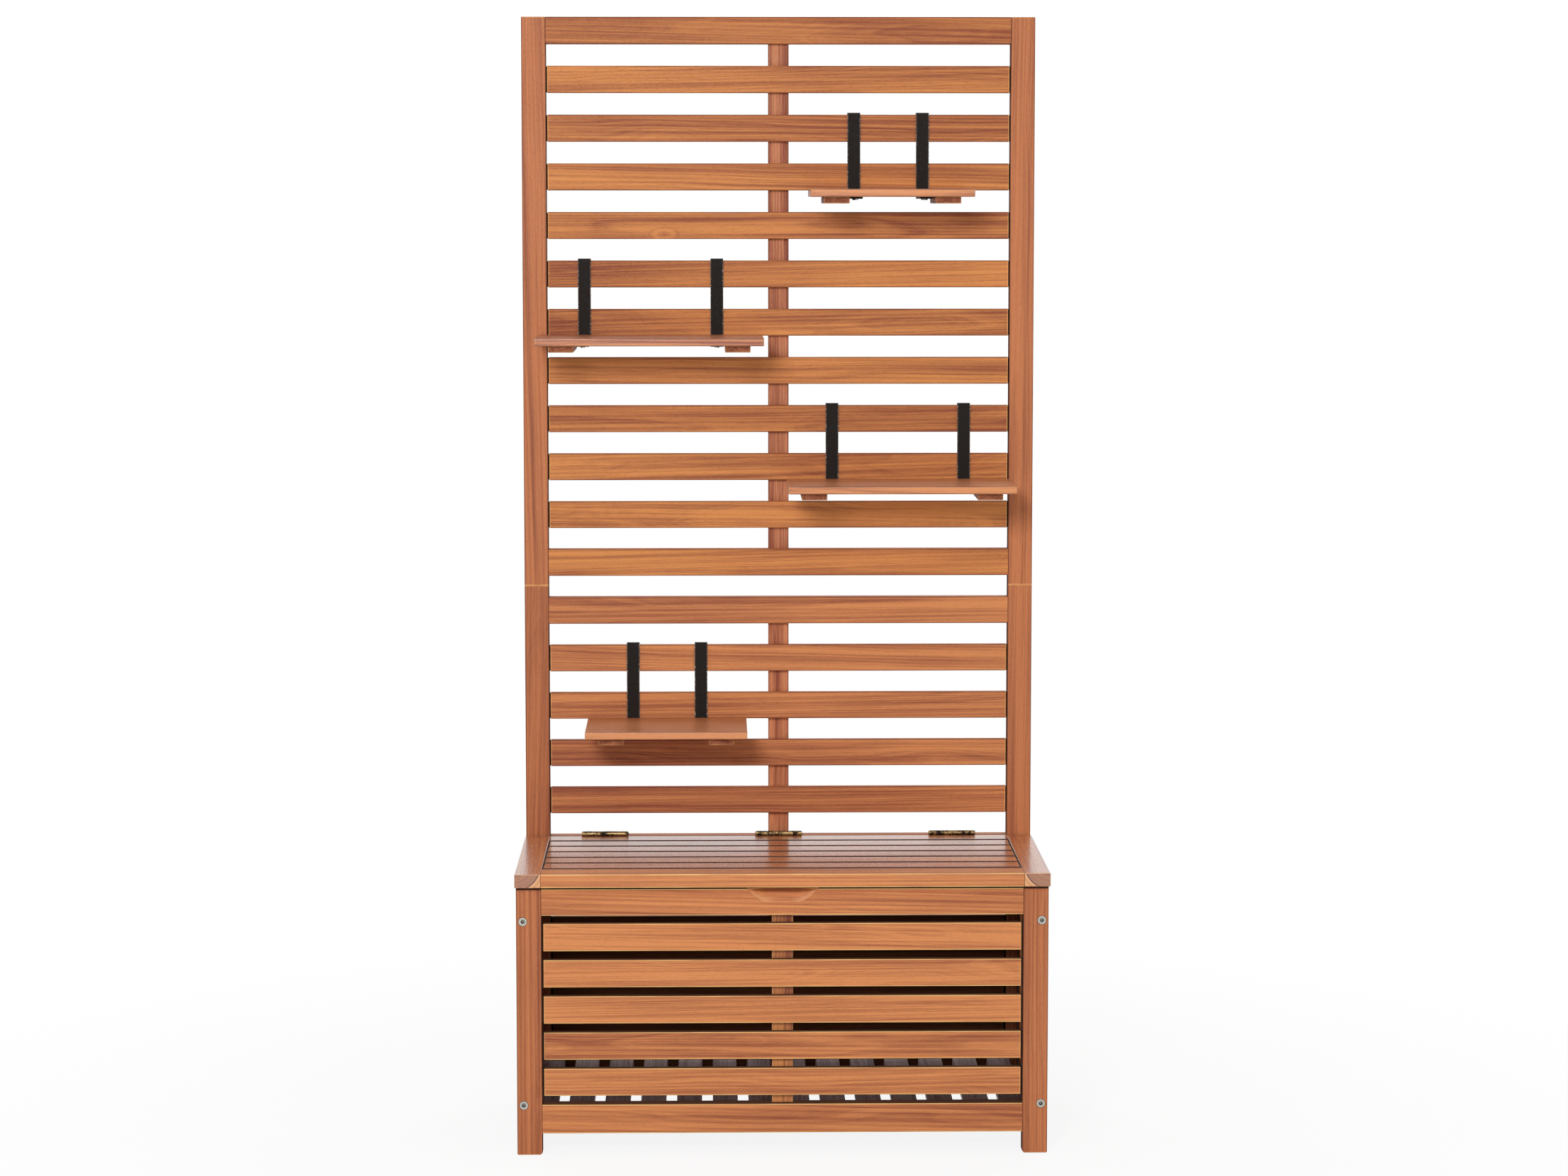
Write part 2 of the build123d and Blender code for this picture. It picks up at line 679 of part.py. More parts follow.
# every countersunk screw of the fixed frame
with BuildPart() as frame_screws:
    screws_at(upper_batten_screws + lower_batten_screws + front_batten_screws, batten_screw_length)
    screws_at(plate_screws, plate_screw_length)
    screws_at(floor_screws, floor_screw_length)
    screws_at(fixed_hinge_screws, hinge_screw_length)
save(frame_screws, "frame_screws")

with BuildPart() as hinge_rail:
    cross_member(post_y, hinge_rail_z, rail_shoulder, edge_shoulder)
    block(batten_x, trellis_batten_y, hinge_rail_z, Mode.SUBTRACT)
    screw_holes_at(lower_batten_screws, batten_screw_length)
    screw_holes_at(fixed_hinge_screws, hinge_screw_length)
save(hinge_rail, "hinge_rail")

# ---- the lid ---------------------------------------------------------------------------

lid_y = (y_lid_front, y_lid_back)
lid_front_rail_y = (y_lid_front, y_lid_front + lid_front_rail_depth)
lid_rear_rail_y = (y_lid_back - lid_rear_rail_depth, y_lid_back)
lid_open_y = (lid_front_rail_y[1], lid_rear_rail_y[0])
lid_slat_z = below(lid_top, slat_thickness)
lid_batten_z = (lid_z[0], lid_slat_z[0])
lid_slat_gap = (lid_open_y[1] - lid_open_y[0] - lid_slat_count * slat_width) / (lid_slat_count + 1)
lid_slat_y = [
    about(lid_open_y[0] + (i + 1) * lid_slat_gap + (i + 0.5) * slat_width, slat_width)
    for i in range(lid_slat_count)
]
lid_batten_screws = [facing("down", 0, middle(slat_y), lid_z[0]) for slat_y in lid_slat_y]


def lid_tenons(y, z, face, edge, mode=Mode.ADD):
    """Stub tenons into the lid's side rails, or their mortises."""
    block(grow(between_uprights, tenon_length), shrink(y, edge), shrink(z, face), mode)


for side, word in ((-1, "left"), (1, "right")):
    with BuildPart() as lid_side_rail:
        board(on_side(side, inner_half, half_width + lid_side_overhang), lid_y, lid_z, "y")
        chamfer(lid_side_rail.edges().group_by(Axis.Y)[0], end_chamfer)
        for rail_y in (lid_front_rail_y, lid_rear_rail_y):
            lid_tenons(rail_y, lid_z, lid_rail_shoulder, edge_shoulder, Mode.SUBTRACT)
        for slat_y in lid_slat_y:
            lid_tenons(slat_y, lid_slat_z, slat_shoulder, slat_edge_shoulder, Mode.SUBTRACT)
    save(lid_side_rail, f"lid_side_rail_{word}")

with BuildPart() as lid_front_rail:
    board(between_uprights, lid_front_rail_y, lid_z, "x")
    lid_tenons(lid_front_rail_y, lid_z, lid_rail_shoulder, edge_shoulder)
save(lid_front_rail, "lid_front_rail")

with BuildPart() as lid_rear_rail:
    board(between_uprights, lid_rear_rail_y, lid_z, "x")
    lid_tenons(lid_rear_rail_y, lid_z, lid_rail_shoulder, edge_shoulder)
    screw_holes_at(lid_hinge_screws, hinge_screw_length)
save(lid_rear_rail, "lid_rear_rail")

with BuildPart() as lid_slats:
    for slat_y in lid_slat_y:
        board(shrink(between_uprights, lid_slat_end_gap), slat_y, lid_slat_z, "x")
        lid_tenons(slat_y, lid_slat_z, slat_shoulder, slat_edge_shoulder)
    screw_holes_at(lid_batten_screws, lid_batten_screw_length)
save(lid_slats, "lid_slats")

with BuildPart() as lid_batten:
    board(batten_x, lid_open_y, lid_batten_z, "y")
    screw_holes_at(lid_batten_screws, lid_batten_screw_length)
save(lid_batten, "lid_batten")

with BuildPart() as lid_screws:
    screws_at(lid_batten_screws, lid_batten_screw_length)
    screws_at(lid_hinge_screws, hinge_screw_length)
save(lid_screws, "lid_screws")

# ---- hook-on shelves -------------------------------------------------------------------------

bar_y = (y_post - hook_play - hook_thickness, y_post - hook_play)
tail_y = (trellis_slat_y[1] + hook_play, trellis_slat_y[1] + hook_play + hook_thickness)
board_y = (bar_y[0] - shelf_depth, bar_y[0])
cleat_y = (board_y[0] + cleat_front_setback, board_y[1] - cleat_rear_setback)


def hook(x, slat_top, flange_top):
    """A flat-bar hook: tail behind the slat, bar in front of it, flange under the board."""
    outside = hook_bend_radius + hook_thickness
    bridge_top = slat_top + hook_thickness
    flange_bottom = flange_top - hook_thickness
    with BuildSketch(Plane.YZ.offset(x[0])) as outline:
        with BuildLine():
            Polyline(
                (tail_y[1], slat_top - hook_tail),
                (tail_y[1], bridge_top),
                (bar_y[0], bridge_top),
                (bar_y[0], flange_top),
                (bar_y[1] - hook_flange, flange_top),
                (bar_y[1] - hook_flange, flange_bottom),
                (bar_y[1], flange_bottom),
                (bar_y[1], slat_top),
                (tail_y[0], slat_top),
                (tail_y[0], slat_top - hook_tail),
                close=True,
            )
        make_face()
        corners = outline.vertices()
        outer_corners = [(tail_y[1], bridge_top), (bar_y[0], bridge_top), (bar_y[1], flange_bottom)]
        inner_corners = [(tail_y[0], slat_top), (bar_y[1], slat_top), (bar_y[0], flange_top)]
        for y, z in outer_corners:
            fillet(corners.sort_by_distance(Vector(y, z))[0], outside)
            corners = outline.vertices()
        for y, z in inner_corners:
            fillet(corners.sort_by_distance(Vector(y, z))[0], hook_bend_radius)
            corners = outline.vertices()
    extrude(outline.sketch, amount=x[1] - x[0])


def flange_screw(mode=Mode.ADD):
    """A pan-head screw under a flange, its head below the origin and its shank upwards."""
    Cylinder(screw_diameter / 2, flange_screw_length, align=to_top, mode=mode)
    if mode == Mode.ADD:
        Cylinder(screw_head_diameter / 2, flange_screw_head_height, align=to_bottom)


shelf_widths = {"small": small_shelf_width, "large": inner_half - large_shelf_clearance}
trellis_stages = {"upper": upper_slat_z, "lower": lower_slat_z}

for name, size, side, inner_end, stage, number in shelf_places:
    width = shelf_widths[size]
    centre = side * (inner_end + width / 2)
    slat_z = trellis_stages[stage][number - 1]
    board_top = slat_z[0] - trellis_pitch + shelf_rise
    board_z = below(board_top, shelf_thickness)
    cleat_z = below(board_z[0], cleat_thickness)
    cleat_middle = width / 2 - cleat_inset - cleat_width / 2
    hook_middle = cleat_middle - cleat_width / 2 - hook_cleat_gap - hook_width / 2
    cleats_x = [about(centre + side * cleat_middle, cleat_width) for side in (-1, 1)]
    hooks_x = [about(centre + side * hook_middle, hook_width) for side in (-1, 1)]
    cleat_screws = [
        facing("down", middle(x), y, cleat_z[0])
        for x in cleats_x
        for y in shrink(cleat_y, shelf_screw_inset)
    ]
    flange_screws = [
        facing("down", middle(x), bar_y[1] - distance, board_z[0] - hook_thickness)
        for x in hooks_x
        for distance in flange_screw_distances
    ]

    with BuildPart() as shelf_board:
        board(about(centre, width), board_y, board_z, "x")
        chamfer(shelf_board.edges().group_by(Axis.X)[0], end_chamfer)
        chamfer(shelf_board.edges().group_by(Axis.X)[-1], end_chamfer)
        screw_holes_at(cleat_screws, cleat_screw_length)
        with Locations(*flange_screws):
            flange_screw(Mode.SUBTRACT)
    save(shelf_board, f"{name}_board")

    with BuildPart() as shelf_cleats:
        for cleat_x in cleats_x:
            board(cleat_x, cleat_y, cleat_z, "y")
        screw_holes_at(cleat_screws, cleat_screw_length)
    save(shelf_cleats, f"{name}_cleats")

    with BuildPart() as shelf_hooks:
        for hook_x in hooks_x:
            hook(hook_x, slat_z[1], board_z[0])
        with Locations(*flange_screws):
            flange_screw(Mode.SUBTRACT)
    save(shelf_hooks, f"{name}_hooks")

    with BuildPart() as shelf_screws:
        screws_at(cleat_screws, cleat_screw_length)
        with Locations(*flange_screws):
            flange_screw()
    save(shelf_screws, f"{name}_screws")
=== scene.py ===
import bpy
import math
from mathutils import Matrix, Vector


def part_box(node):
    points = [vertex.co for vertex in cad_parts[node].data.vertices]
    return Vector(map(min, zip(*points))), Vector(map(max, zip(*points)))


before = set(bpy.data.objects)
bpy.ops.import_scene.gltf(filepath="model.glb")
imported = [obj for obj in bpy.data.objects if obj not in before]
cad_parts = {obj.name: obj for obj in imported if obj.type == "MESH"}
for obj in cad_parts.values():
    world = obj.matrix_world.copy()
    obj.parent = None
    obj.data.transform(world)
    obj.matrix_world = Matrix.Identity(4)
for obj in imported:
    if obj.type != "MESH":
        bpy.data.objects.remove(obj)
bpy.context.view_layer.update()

# ---- camera --------------------------------------------------------------------
# A long lens, well back and a little left of the middle, at standing eye height,
# which looks slightly down at the bench.
camera_place = (-0.1075, -5.944, 1.4355)
camera_turn_right = 0.0190
camera_tilt_down = 0.0996
lens_length = 89.41

bpy.ops.object.select_all(action="DESELECT")
bpy.ops.object.camera_add(
    location=camera_place, rotation=(math.pi / 2 - camera_tilt_down, 0, -camera_turn_right)
)
camera = bpy.context.object
camera.data.sensor_width = 36
camera.data.lens = lens_length
camera.data.clip_end = 60
bpy.context.scene.camera = camera

# ---- studio --------------------------------------------------------------------
# A matt white floor under a white surround, a large soft light from the upper left,
# a weaker one from the right, one overhead for the lid and the shelves, and two
# behind for the sides and the back.


def add_node(tree, kind, joined=None, **settings):
    """Adds a shader node; each named input is set to a value or joined to another output."""
    made = tree.nodes.new(kind)
    for name, value in settings.items():
        setattr(made, name, value)
    for name, value in (joined or {}).items():
        if isinstance(value, bpy.types.NodeSocket):
            tree.links.new(value, made.inputs[name])
        else:
            made.inputs[name].default_value = value
    return made


def shade(red, green, blue):
    """A colour given as it looks on screen, 0 to 255, in the linear values that shaders take."""
    return (*[(level / 255) ** 2.2 for level in (red, green, blue)], 1)


def seen_rays(tree):
    """1 for rays that show what they reach, straight, reflected or through glass; 0 for others."""
    rays = add_node(tree, "ShaderNodeLightPath")
    either = add_node(
        tree,
        "ShaderNodeMath",
        {0: rays.outputs["Is Camera Ray"], 1: rays.outputs["Is Glossy Ray"]},
        operation="MAXIMUM",
    )
    return add_node(
        tree,
        "ShaderNodeMath",
        {0: either.outputs[0], 1: rays.outputs["Is Transmission Ray"]},
        operation="MAXIMUM",
    ).outputs[0]


bpy.ops.mesh.primitive_plane_add(size=30, location=(0, 0, 0))
floor = bpy.context.object
floor.name = "studio_floor"
paper = bpy.data.materials.new("white studio paper")
paper.use_nodes = True
tree = paper.node_tree
tree.nodes.clear()
seen = seen_rays(tree)
matt = add_node(tree, "ShaderNodeBsdfDiffuse", {"Color": (0.9, 0.9, 0.9, 1)})
glow = add_node(tree, "ShaderNodeEmission", {"Color": (1, 1, 1, 1), "Strength": 1.0})
where = add_node(tree, "ShaderNodeTexCoord")
far = add_node(tree, "ShaderNodeVectorMath", {0: where.outputs["Object"]}, operation="LENGTH")
fade_start, fade_end = 0.5, 1.6
whiter = add_node(
    tree,
    "ShaderNodeMapRange",
    {
        "Value": far.outputs["Value"],
        "From Min": fade_start,
        "From Max": fade_end,
        "To Min": 0.88,
        "To Max": 1.0,
    },
).outputs["Result"]
share = add_node(tree, "ShaderNodeMath", {0: seen, 1: whiter}, operation="MULTIPLY").outputs[0]
mixed = add_node(tree, "ShaderNodeMixShader", {0: share, 1: matt.outputs[0], 2: glow.outputs[0]})
add_node(tree, "ShaderNodeOutputMaterial", {"Surface": mixed.outputs[0]})
floor.data.materials.append(paper)

world = bpy.data.worlds.new("white surround")
bpy.context.scene.world = world
world.use_nodes = True
tree = world.node_tree
tree.nodes.clear()
light_level = 0.26
level = add_node(
    tree,
    "ShaderNodeMapRange",
    {"Value": seen_rays(tree), "To Min": light_level, "To Max": 1.0},
).outputs["Result"]
surround = add_node(tree, "ShaderNodeBackground", {"Color": (1, 1, 1, 1), "Strength": level})
add_node(tree, "ShaderNodeOutputWorld", {"Surface": surround.outputs[0]})


def soft_light(name, place, aim, width, power):
    """A square area light at place, turned towards aim."""
    right, back, up = [end - start for start, end in zip(place, aim)]
    turn = (math.atan2(math.hypot(right, back), -up), 0, math.atan2(back, right) - math.pi / 2)
    bpy.ops.object.light_add(type="AREA", location=place, rotation=turn)
    light = bpy.context.object
    light.name = name
    light.data.shape = "SQUARE"
    light.data.size = width
    light.data.energy = power


soft_light("key_light", place=(-0.9, -4.35, 2.4), aim=(0, 0, 0.6), width=1.0, power=114)
soft_light("fill_light", place=(3.0, -4.6, 1.0), aim=(0, 0, 0.5), width=2.6, power=27)
soft_light("top_light", place=(0.2, -0.6, 4.4), aim=(0, 0, 0.4), width=2.0, power=22)
for side, left_or_right in (("left", -1), ("right", 1)):
    place = (2.8 * left_or_right, 3.4, 2.9)
    soft_light(f"{side}_back_light", place=place, aim=(0, 0, 0.7), width=1.8, power=50)

bpy.context.scene.view_settings.view_transform = "Standard"

# ---- timber --------------------------------------------------------------------
# Every board is the same oiled orange-brown hardwood: fine pores, growth rings
# that show as streaks along the faces and as arcs on the ends, and eased edges.


def calculate(tree, operation, *values):
    """The output of a math node on these values or outputs."""
    return add_node(tree, "ShaderNodeMath", dict(enumerate(values)), operation=operation).outputs[0]


def blend_colours(tree, factor, first, second):
    """The first colour where factor is 0, the second where it is 1."""
    made = tree.nodes.new("ShaderNodeMix")
    made.data_type = "RGBA"
    made.clamp_factor = True
    for index, value in ((0, factor), (6, first), (7, second)):
        if isinstance(value, bpy.types.NodeSocket):
            tree.links.new(value, made.inputs[index])
        else:
            made.inputs[index].default_value = value
    return made.outputs[2]


def map_range(tree, value, low, high, to_low=0.0, to_high=1.0, smooth=True):
    """Value brought from low..high to to_low..to_high and held there outside."""
    return add_node(
        tree,
        "ShaderNodeMapRange",
        {"Value": value, "From Min": low, "From Max": high, "To Min": to_low, "To Max": to_high},
        interpolation_type="SMOOTHSTEP" if smooth else "LINEAR",
    ).outputs["Result"]


def distance(tree, first, second):
    """How far apart two points are that lie first one way and second square to it."""
    second_squared = calculate(tree, "MULTIPLY", second, second)
    return calculate(tree, "SQRT", calculate(tree, "MULTIPLY_ADD", first, first, second_squared))


def shader_group(name, inputs, outputs):
    """A node group with these named sockets; gives the tree and its input and output nodes."""
    tree = bpy.data.node_groups.new(name, "ShaderNodeTree")
    kinds = {"float": "NodeSocketFloat", "vector": "NodeSocketVector", "colour": "NodeSocketColor"}
    for label, kind in inputs:
        tree.interface.new_socket(label, in_out="INPUT", socket_type=kinds[kind])
    for label, kind in outputs:
        tree.interface.new_socket(label, in_out="OUTPUT", socket_type=kinds[kind])
    return tree, tree.nodes.new("NodeGroupInput"), tree.nodes.new("NodeGroupOutput")


# which board of a row a point is on, and how far it is from the middle of that board
board_row, given, result = shader_group(
    "Board row",
    [("Coordinate", "float"), ("First", "float"), ("Pitch", "float"), ("Last number", "float")],
    [("Number", "float"), ("Centred", "float")],
)
past_first = calculate(board_row, "SUBTRACT", given.outputs["Coordinate"], given.outputs["First"])
place = calculate(board_row, "DIVIDE", past_first, given.outputs["Pitch"])
number = calculate(board_row, "ROUND", place)
number = calculate(board_row, "MAXIMUM", number, 0.0)
number = calculate(board_row, "MINIMUM", number, given.outputs["Last number"])
offset = calculate(board_row, "MULTIPLY", number, given.outputs["Pitch"])
centred = calculate(board_row, "SUBTRACT", past_first, offset)
board_row.links.new(number, result.inputs["Number"])
board_row.links.new(centred, result.inputs["Centred"])

# faces that look one of two ways get a darker and duller tone; where they look into the box or into
# a gap it is painted shade
turned_face, given, result = shader_group(
    "Turned face",
    [
        ("Normal", "vector"),
        ("First way", "vector"),
        ("Second way", "vector"),
        ("Turn from", "float"),
        ("Turn to", "float"),
        ("Share", "float"),
    ],
    [("Mask", "float")],
)
turned = [
    add_node(
        turned_face,
        "ShaderNodeVectorMath",
        {0: given.outputs["Normal"], 1: given.outputs[way]},
        operation="DOT_PRODUCT",
    ).outputs["Value"]
    for way in ("First way", "Second way")
]
mask = map_range(
    turned_face,
    calculate(turned_face, "MAXIMUM", *turned),
    given.outputs["Turn from"],
    given.outputs["Turn to"],
    0.0,
    given.outputs["Share"],
)
turned_face.links.new(mask, result.inputs["Mask"])

# the dark line where a tenon goes into its mortise
tenon_shadow, given, result = shader_group(
    "Tenon shadow", [("Along", "float"), ("Half length", "float")], [("Mask", "float")]
)
past_shoulder = calculate(
    tenon_shadow,
    "SUBTRACT",
    calculate(tenon_shadow, "ABSOLUTE", given.outputs["Along"]),
    given.outputs["Half length"],
)
mask = map_range(tenon_shadow, past_shoulder, -0.0003, 0.0001, 0.0, 0.96)
tenon_shadow.links.new(mask, result.inputs["Mask"])

# painted shade along the upper front edge of a board, under the lid's overhang, with a line of the
# board's arris tone below it: a painted highlight where that tone is pale, painted shade where it
# is dark
lid_edge_shade, given, result = shader_group(
    "Lid edge shade",
    [("Z", "float"), ("Level", "float"), ("Normal", "vector")],
    [("Arris line", "float"), ("Painted shade", "float")],
)
above = calculate(lid_edge_shade, "SUBTRACT", given.outputs["Z"], given.outputs["Level"])
ways = add_node(lid_edge_shade, "ShaderNodeSeparateXYZ", {0: given.outputs["Normal"]})
forwards = calculate(lid_edge_shade, "MULTIPLY", ways.outputs["Y"], -1.0)
in_front = map_range(lid_edge_shade, forwards, 0.15, 0.35)
for name, low, high, most in (("Arris line", -0.0016, -0.0010, 0.75), ("Painted shade", -0.0002, 0.0003, 0.97)):
    band = map_range(lid_edge_shade, above, low, high, 0.0, most)
    band = calculate(lid_edge_shade, "MULTIPLY", band, in_front)
    lid_edge_shade.links.new(band, result.inputs[name])

# the timber itself, in a board's own axes: along its grain, across its face and through it
hardwood, given, result = shader_group(
    "Oiled hardwood",
    [
        ("Along", "float"),
        ("Across", "float"),
        ("Through", "float"),
        ("Half length", "float"),
        ("Half width", "float"),
        ("Half thickness", "float"),
        ("End face", "float"),
        ("Board", "float"),
        ("Tone", "float"),
        ("Figure", "float"),
        ("Light wood", "colour"),
        ("Dark wood", "colour"),
        ("Arris", "colour"),
        ("Arris share", "float"),
        ("End arris share", "float"),
        ("Knot along", "float"),
        ("Knot across", "float"),
        ("Knot share", "float"),
    ],
    [("Color", "colour"), ("Roughness", "float"), ("Height", "float")],
)
# each board comes from another tree: by lot, and by its own place in the patterns
lot = add_node(
    hardwood, "ShaderNodeTexWhiteNoise", {"W": given.outputs["Board"]}, noise_dimensions="1D"
)
lots = add_node(hardwood, "ShaderNodeSeparateColor", {"Color": lot.outputs["Color"]})
side_lot, depth_lot, lean_lot = lots.outputs[0], lots.outputs[1], lots.outputs[2]
board_step = 3.71
ring_step = 7.3
shifted_along = calculate(
    hardwood, "MULTIPLY_ADD", given.outputs["Board"], board_step, given.outputs["Along"]
)
bowed_across = given.outputs["Across"]


def stretched_noise(along_scale, cross_scale, detail, roughness=0.5, offset=0.0):
    """Noise drawn out along the grain; the scales are features to the metre."""
    where = add_node(
        hardwood,
        "ShaderNodeCombineXYZ",
        {
            "X": calculate(hardwood, "MULTIPLY_ADD", shifted_along, along_scale, offset),
            "Y": calculate(hardwood, "MULTIPLY", bowed_across, cross_scale),
            "Z": calculate(hardwood, "MULTIPLY", given.outputs["Through"], cross_scale),
        },
    )
    made = add_node(
        hardwood,
        "ShaderNodeTexNoise",
        {"Vector": where.outputs[0], "Scale": 1.0, "Detail": detail, "Roughness": roughness},
    )
    return made.outputs["Fac"]


# growth rings about a pith outside the board, which lean and wander along the grain
most_wander = 0.030
most_lean = 0.05
wander = stretched_noise(along_scale=2.2, cross_scale=16.0, detail=2.0)
wander = calculate(hardwood, "SUBTRACT", wander, 0.5)
wander_span = calculate(hardwood, "MULTIPLY", wander, most_wander)
lean = calculate(hardwood, "MULTIPLY", calculate(hardwood, "SUBTRACT", lean_lot, 0.5), most_lean)
leaning = calculate(hardwood, "MULTIPLY", given.outputs["Along"], lean)
pith_side = map_range(hardwood, side_lot, 0.0, 1.0, -0.05, 0.05, smooth=False)
pith_depth = map_range(hardwood, depth_lot, 0.0, 1.0, 0.012, 0.11, smooth=False)
bowed_across = calculate(
    hardwood,
    "ADD",
    calculate(hardwood, "ADD", given.outputs["Across"], leaning),
    calculate(hardwood, "MULTIPLY", wander_span, 0.25),
)
from_pith_across = calculate(hardwood, "SUBTRACT", bowed_across, pith_side)
from_pith_through = calculate(hardwood, "ADD", given.outputs["Through"], pith_depth)
from_pith_through = calculate(hardwood, "ADD", from_pith_through, wander_span)

# a knot pushes the rings aside round it
from_knot_along, from_knot_across = [
    calculate(hardwood, "SUBTRACT", given.outputs[way], given.outputs[f"Knot {way.lower()}"])
    for way in ("Along", "Across")
]
from_knot_along = calculate(hardwood, "MULTIPLY", from_knot_along, 0.45)
from_knot = distance(hardwood, from_knot_along, from_knot_across)
near_knot = map_range(hardwood, from_knot, 0.0, 0.013, 1.0, 0.0)
swell = calculate(hardwood, "MULTIPLY", near_knot, given.outputs["Knot share"])
from_pith_through = calculate(hardwood, "MULTIPLY_ADD", swell, 0.010, from_pith_through)
in_knot = map_range(hardwood, from_knot, 0.0004, 0.0016, 0.7, 0.0)
knot_heart = calculate(hardwood, "MULTIPLY", in_knot, given.outputs["Knot share"])
rings_per_metre = 210.0
ring_radius = calculate(
    hardwood,
    "ADD",
    distance(hardwood, from_pith_across, from_pith_through),
    calculate(hardwood, "MULTIPLY", wander_span, 0.35),
)
ring_offset = calculate(hardwood, "MULTIPLY", given.outputs["Board"], ring_step)
ring_place = calculate(hardwood, "MULTIPLY_ADD", ring_radius, rings_per_metre, ring_offset)
rings = add_node(
    hardwood,
    "ShaderNodeTexNoise",
    {"W": ring_place, "Scale": 1.0, "Detail": 4.0, "Roughness": 0.7},
    noise_dimensions="1D",
).outputs["Fac"]
ring_tone = map_range(hardwood, rings, 0.30, 0.70)

# broad streaks and clouds of tone, then fine threads, fibres and pores
streaks = stretched_noise(along_scale=1.6, cross_scale=60.0, detail=2.0, offset=11.0)
streaks = map_range(hardwood, streaks, 0.32, 0.68)
clouds = stretched_noise(along_scale=4.0, cross_scale=12.0, detail=1.0, offset=23.0)
clouds = map_range(hardwood, clouds, 0.25, 0.75)
threads = stretched_noise(
    along_scale=1.5, cross_scale=300.0, detail=4.0, roughness=0.62, offset=31.0
)
threads = map_range(hardwood, threads, 0.32, 0.68)
fibres = stretched_noise(
    along_scale=30.0, cross_scale=800.0, detail=3.0, roughness=0.65, offset=5.0
)
fibre_tone = map_range(hardwood, fibres, 0.30, 0.70, smooth=False)
pores = stretched_noise(along_scale=170.0, cross_scale=1100.0, detail=1.0, offset=41.0)
pores = map_range(hardwood, pores, 0.54, 0.76)

# the tone of the timber goes from 0, dark and red, to 1, pale and yellow
ring_share = map_range(hardwood, given.outputs["Figure"], 0.0, 1.0, 0.10, 0.58, smooth=False)
streak_share = map_range(hardwood, given.outputs["Figure"], 0.0, 1.0, 0.22, 0.60, smooth=False)
base_tone = given.outputs["Tone"]
for pattern, pattern_share in (
    (ring_tone, ring_share),
    (streaks, streak_share),
    (clouds, 0.18),
    (threads, 0.56),
    (fibre_tone, 0.24),
):
    either_way = calculate(hardwood, "SUBTRACT", pattern, 0.5)
    base_tone = calculate(hardwood, "MULTIPLY_ADD", either_way, pattern_share, base_tone)
base_tone = calculate(hardwood, "MULTIPLY_ADD", swell, 0.12, base_tone)
wood_colour = blend_colours(
    hardwood, base_tone, given.outputs["Dark wood"], given.outputs["Light wood"]
)
pore_colour = shade(92, 46, 28)
pore_share = calculate(hardwood, "MULTIPLY", pores, 0.15)
wood_colour = blend_colours(hardwood, pore_share, wood_colour, pore_colour)

# pin knots, in one of twenty cells, and the one that is placed
knot_colour = shade(84, 40, 26)
knot_cells_per_metre = {"along": 8.0, "across": 20.0}
knot_where = add_node(
    hardwood,
    "ShaderNodeCombineXYZ",
    {
        axis: calculate(hardwood, "MULTIPLY", coordinate, knot_cells_per_metre[way])
        for axis, coordinate, way in (
            ("X", shifted_along, "along"),
            ("Y", given.outputs["Across"], "across"),
            ("Z", given.outputs["Through"], "across"),
        )
    },
)
knot_cells = add_node(
    hardwood, "ShaderNodeTexVoronoi", {"Vector": knot_where.outputs[0], "Scale": 1.0}
)
knot_lot = add_node(
    hardwood, "ShaderNodeSeparateColor", {"Color": knot_cells.outputs["Color"]}
).outputs[0]
knot_chosen = calculate(hardwood, "GREATER_THAN", knot_lot, 1 - 1 / 20)
knot_spot = map_range(hardwood, knot_cells.outputs["Distance"], 0.022, 0.05, 1.0, 0.0)
pin_knots = calculate(hardwood, "MULTIPLY", knot_chosen, knot_spot)
knots = calculate(hardwood, "MAXIMUM", pin_knots, knot_heart)
knot_darkness = calculate(hardwood, "MULTIPLY", knots, 0.75)
wood_colour = blend_colours(hardwood, knot_darkness, wood_colour, knot_colour)

# end grain drinks more oil, so it is darker and duller
end_grain_colour = shade(120, 72, 50)
end_grain = calculate(hardwood, "MULTIPLY", given.outputs["End face"], 0.45)
wood_colour = blend_colours(hardwood, end_grain, wood_colour, end_grain_colour)

# the arrises are eased and get another tone than the faces: a pale tone is partly wear and partly
# painted highlight, a dark tone is painted shade on the eased edge
end_arris_colour = shade(232, 174, 106)
easing_width = 0.0008
arris_band_width = 0.0021


def close_to(half_size, coordinate):
    """1 at the edge of a face, 0 further than arris_band_width from it."""
    from_centre = calculate(hardwood, "ABSOLUTE", given.outputs[coordinate])
    gap = calculate(hardwood, "SUBTRACT", given.outputs[half_size], from_centre)
    return map_range(hardwood, gap, easing_width, arris_band_width, 1.0, 0.0)


near_end = close_to("Half length", "Along")
near_side = close_to("Half width", "Across")
near_face = close_to("Half thickness", "Through")
wear_and_glint_noise = stretched_noise(along_scale=14.0, cross_scale=60.0, detail=2.0, offset=63.0)
wear_and_glint_noise = map_range(hardwood, wear_and_glint_noise, 0.3, 0.7, 0.45, 1.0)
long_arris = calculate(hardwood, "MULTIPLY", near_side, near_face)
long_arris = calculate(hardwood, "MULTIPLY", long_arris, wear_and_glint_noise)
wood_colour = blend_colours(
    hardwood,
    calculate(hardwood, "MULTIPLY", long_arris, given.outputs["Arris share"]),
    wood_colour,
    given.outputs["Arris"],
)
# the pale tone at the ends is partly wear and partly painted highlight
near_corner = calculate(hardwood, "MAXIMUM", near_side, near_face)
end_arris = calculate(hardwood, "MULTIPLY", near_end, near_corner)
end_arris = calculate(hardwood, "MULTIPLY", end_arris, wear_and_glint_noise)
wood_colour = blend_colours(
    hardwood,
    calculate(hardwood, "MULTIPLY", end_arris, given.outputs["End arris share"]),
    wood_colour,
    end_arris_colour,
)

